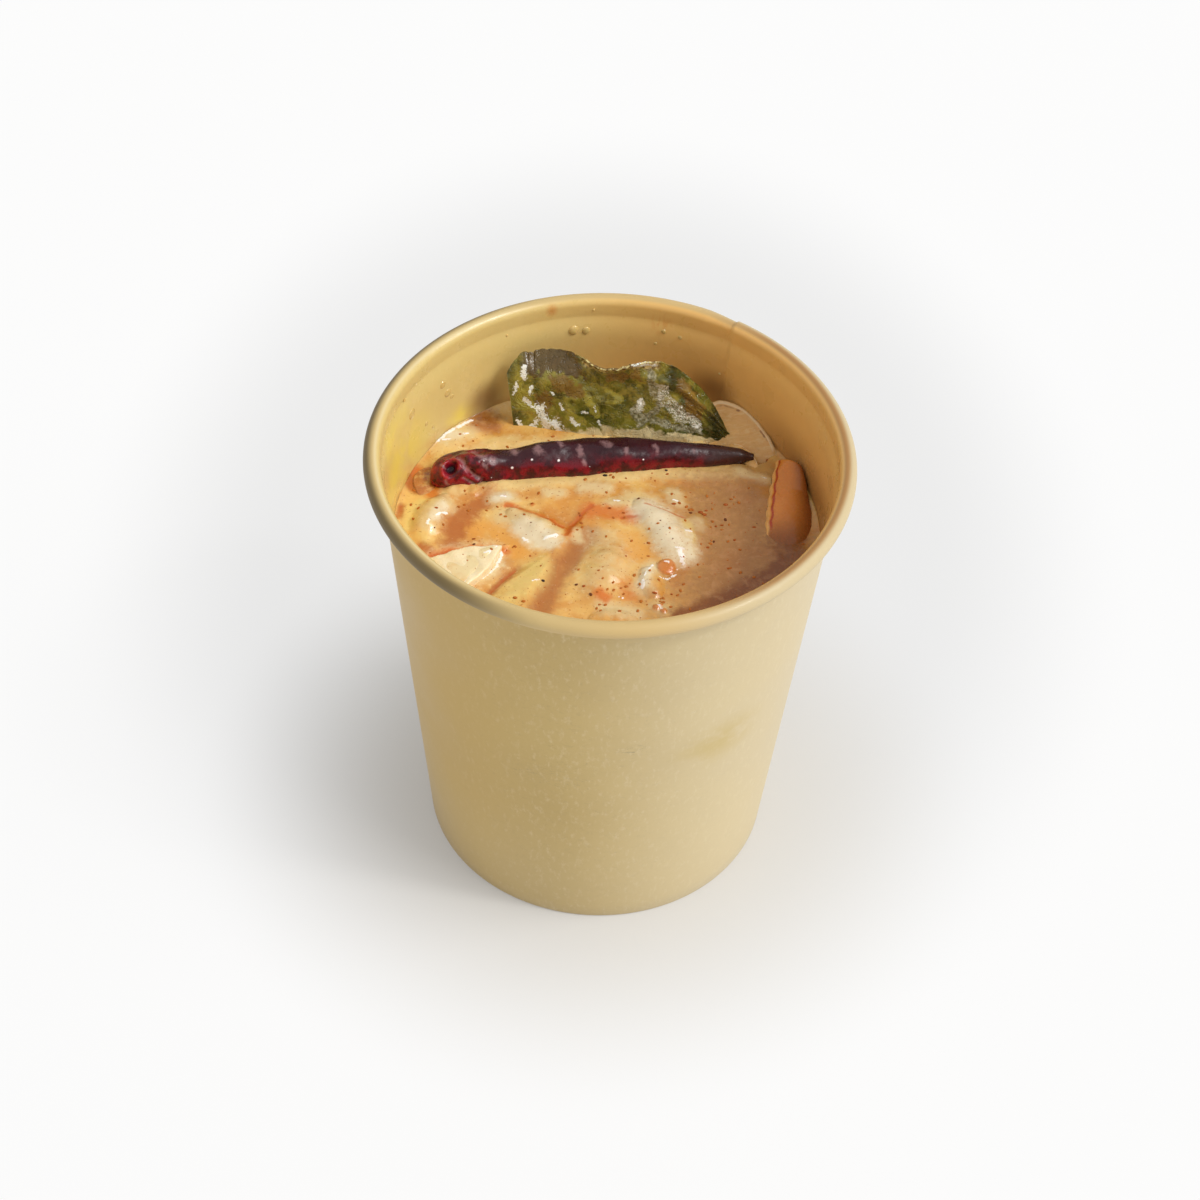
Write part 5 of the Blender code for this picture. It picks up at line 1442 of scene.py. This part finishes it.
def scatterTree():
    number = "NodeSocketFloat"
    tree, given, out = geometryTree("scatteredFlakes", [
        ("Per Square Metre", number, 1000.0), ("Smallest", number, 0.0001), ("Largest", number, 0.0003),
        ("Flatness", number, 0.5), ("Seed", "NodeSocketInt", 1), ("Material", "NodeSocketMaterial", None)])

    def times(a, b):
        return addNode(tree, "ShaderNodeMath", {0: a, 1: b}, operation="MULTIPLY").outputs[0]

    def chance(low, high, seed):
        node = addNode(tree, "FunctionNodeRandomValue", {"Seed": seed}, data_type="FLOAT")
        for socket in node.inputs:
            if socket.enabled and socket.name in ("Min", "Max"):
                feed(tree, socket, low if socket.name == "Min" else high)
        return [socket for socket in node.outputs if socket.enabled][0]

    share = addNode(tree, "GeometryNodeInputNamedAttribute", {"Name": "flakes"}).outputs[0]
    points = addNode(tree, "GeometryNodeDistributePointsOnFaces", {
        "Mesh": given["Geometry"], "Density": times(share, given["Per Square Metre"]), "Seed": given["Seed"],
    }, distribute_method="RANDOM").outputs["Points"]
    size = chance(given["Smallest"], given["Largest"], given["Seed"])
    sides = {0: times(size, 1.45), 1: size, 2: times(size, given["Flatness"])}
    scale = addNode(tree, "ShaderNodeCombineXYZ", sides).outputs[0]
    turned = addNode(tree, "ShaderNodeCombineXYZ", {2: chance(0.0, 2 * math.pi, 5)}).outputs[0]
    return putBalls(tree, out, points, 2, turned, scale, given["Material"])


def dropTree():
    tree, given, out = geometryTree("standingDrops", [("Material", "NodeSocketMaterial", None)])

    def direction(name):
        node = addNode(tree, "GeometryNodeInputNamedAttribute", {"Name": name}, data_type="FLOAT_VECTOR")
        return node.outputs[0]

    points = addNode(tree, "GeometryNodeMeshToPoints", {0: given["Geometry"]}).outputs[0]
    facing = {"Vector": direction("facing")}
    turned = addNode(tree, "FunctionNodeAlignEulerToVector", facing, axis="Z").outputs[0]
    return putBalls(tree, out, points, 3, turned, direction("spread"), given["Material"])


flakes = {
    "smallest": 0.08, "largest": 0.33, "flatness": 0.55, "reach": 41.5, "grid": 140,
    # scattered ones: how many on a square metre, seed, two tones
    "scattered": {"chilli_flakes": (125000.0, 11, (150, 76, 20), (204, 124, 44)),
                  "dark_flakes": (7000.0, 14, (84, 44, 20), (126, 70, 30))},
    # where they lie thick: x, y, radius
    "thick": [(19, 6, 5), (-24, 3, 8), (-30, -10, 5), (10, -17, 7), (-4, 3, 5), (25, 6, 7), (-2, -18, 7),
              (4, 18, 9)],
    # two tones of the placed ones, and their places: x, y, size
    "placed tones": {"large_flakes": ((140, 64, 16), (182, 94, 28)),
                     "black_specks": ((34, 24, 20), (66, 44, 30))},
    "large_flakes": [(19.0, 6.8, 0.5), (19.8, 6.2, 0.45), (20.2, 7.4, 0.3), (24.2, 9.4, 0.4),
                     (22.2, 3.0, 0.3), (23.4, 3.4, 0.3), (26.0, -0.7, 0.35), (20.5, -3.3, 0.3),
                     (24.7, -9.0, 0.3), (30.0, 3.2, 0.3), (13.4, -16.8, 0.3), (10.0, -17.6, 0.35),
                     (4.0, -7.8, 0.25), (13.5, 8.4, 0.35), (-15.6, 7.0, 0.35), (-27.0, -3.7, 0.3),
                     (-4.2, -16.9, 0.35), (-35.0, 2.6, 0.3), (-5.6, 4.4, 0.3), (3.3, 5.3, 0.3),
                     (0.4, 6.6, 0.35), (-28.6, -8.6, 0.3), (-26.8, -8.2, 0.35), (-30.4, -9.4, 0.25),
                     (12.0, 17.4, 0.3), (-24.4, 17.0, 0.25)],
    "black_specks": [(-0.9, 16.2, 0.45), (-17.7, 15.4, 0.35), (11.8, 18.4, 0.3), (-12.4, -16.2, 0.35)],
}

drops = {
    # compass angle on the wall, height, half width, thickness
    "wall": [(101.3, 95.6, 1.05, 0.55), (97.9, 95.3, 0.85, 0.45), (158.5, 98.8, 0.3, 0.2),
             (95.9, 100.4, 0.28, 0.2), (156.0, 93.6, 1.1, 0.3), (141.9, 93.4, 0.8, 0.25),
             (140.4, 90.6, 0.9, 0.3), (139.0, 89.0, 0.5, 0.2), (77.0, 96.4, 0.5, 0.25),
             (79.0, 93.0, 0.35, 0.2), (72.4, 95.8, 0.45, 0.2), (150.0, 87.4, 0.5, 0.2),
             (147.4, 85.2, 0.4, 0.2), (120.0, 97.6, 0.3, 0.15), (60.0, 90.0, 0.3, 0.15)],
}


def surfaceHeight(x, y):
    return soupSurface(np.array([float(x)]), np.array([float(y)]))[0][0]


def paintFlakes(name, dark, pale):
    paint = Paint(name, roughness=0.55, Specular_IOR_Level=0.2)
    color = paint.mix(paint.noise(0.8, detail=2.0), dark, pale)
    fine = paint.noise(4.0, detail=2.0)
    return paint.finish(color, paint.ease(fine, 0.3, 0.7, 0.25, 0.45), fine, distance=0.05, strength=0.5)


def makeFlakes():
    n = flakes["grid"]
    x, y = (part * flakes["reach"] for part in evenDisc(n))
    z = soupSurface(x.ravel(), y.ravel())[0].reshape(n, n)
    # few of them lie on the chilli
    left, tip = chilli["left"], chilli["tip"]
    along = (x - left[0]) / (tip[0] - left[0])
    line = left[1] + (tip[1] - left[1]) * along + 4 * chilli["bow"] * along * (1 - along)
    covered = (np.abs(y - line) < 4.2) & (along > 0) & (along < 1)
    thick = 0.25 + 0.75 * sum(bell(np.hypot(x - a, y - b), 0, r) for a, b, r in flakes["thick"])
    points = np.stack([x, y, z + 0.02], axis=2).reshape(-1, 3)
    tree = scatterTree()
    for name, (density, seed, dark, pale) in flakes["scattered"].items():
        base = bpy.data.meshes.new(name)
        base.from_pydata([tuple(p) for p in points * mm], [], gridFaces(n, n))
        keepMark(base, "flakes", ((1 - 0.9 * covered) * thick).ravel())
        piece = growPiece(name, tree, base, {
            "Per Square Metre": density, "Seed": seed, "Flatness": flakes["flatness"],
            "Smallest": flakes["smallest"] * mm, "Largest": flakes["largest"] * mm,
            "Material": paintFlakes(name + "Skin", dark, pale)})
        piece.data.shade_smooth()
        onFrame(piece, "chilli_skin")


def standDrops(name, places, facings, spreads, material, slot):
    base = bpy.data.meshes.new(name)
    base.from_pydata([tuple(np.array(p) * mm) for p in places], [], [])
    keepMark(base, "facing", facings)
    keepMark(base, "spread", [np.array(v) * mm for v in spreads])
    piece = growPiece(name, dropTree(), base, {"Material": material})
    piece.data.shade_smooth()
    onFrame(piece, slot)


def paintDrops():
    paint = Paint("oilDrops", 0.08, Coat_Weight=0.6, Coat_Roughness=0.03, Subsurface_Weight=0.1)
    color = paint.mix(paint.noise(0.8, detail=2.0), (212, 172, 92), (232, 200, 128))
    fine = paint.noise(1.5, detail=2.0)
    return paint.finish(color, paint.ease(fine, 0.3, 0.7, 0.05, 0.12), fine, distance=0.03, strength=0.3)


def makeDrops():
    for name, tones in flakes["placed tones"].items():
        places, facings, spreads = [], [], []
        for i, (x, y, size) in enumerate(flakes[name]):
            places.append((x, y, surfaceHeight(x, y) + 0.03))
            facings.append((0.25 * math.sin(7 * i), 0.25 * math.cos(5 * i), 1))
            spreads.append((size * (1.15 + 0.3 * math.sin(3 * i)), size * 0.8, size * 0.45))
        standDrops(name, places, facings, spreads, paintFlakes(name + "Skin", *tones), "chilli_skin")
    places, facings, spreads = [], [], []
    for compass, height, width, thick in drops["wall"]:
        turn = math.radians(compass)
        radius = wallRadius(height) - cup["paper"] + 0.05
        places.append((radius * math.cos(turn), radius * math.sin(turn), height))
        facings.append((-math.cos(turn), -math.sin(turn), 0.09))
        spreads.append((width, width * 1.15, thick))
    standDrops("wall_drops", places, facings, spreads, paintDrops(), "kraft_paper")


makeFlakes()
makeDrops()
say("flakes and drops ready")
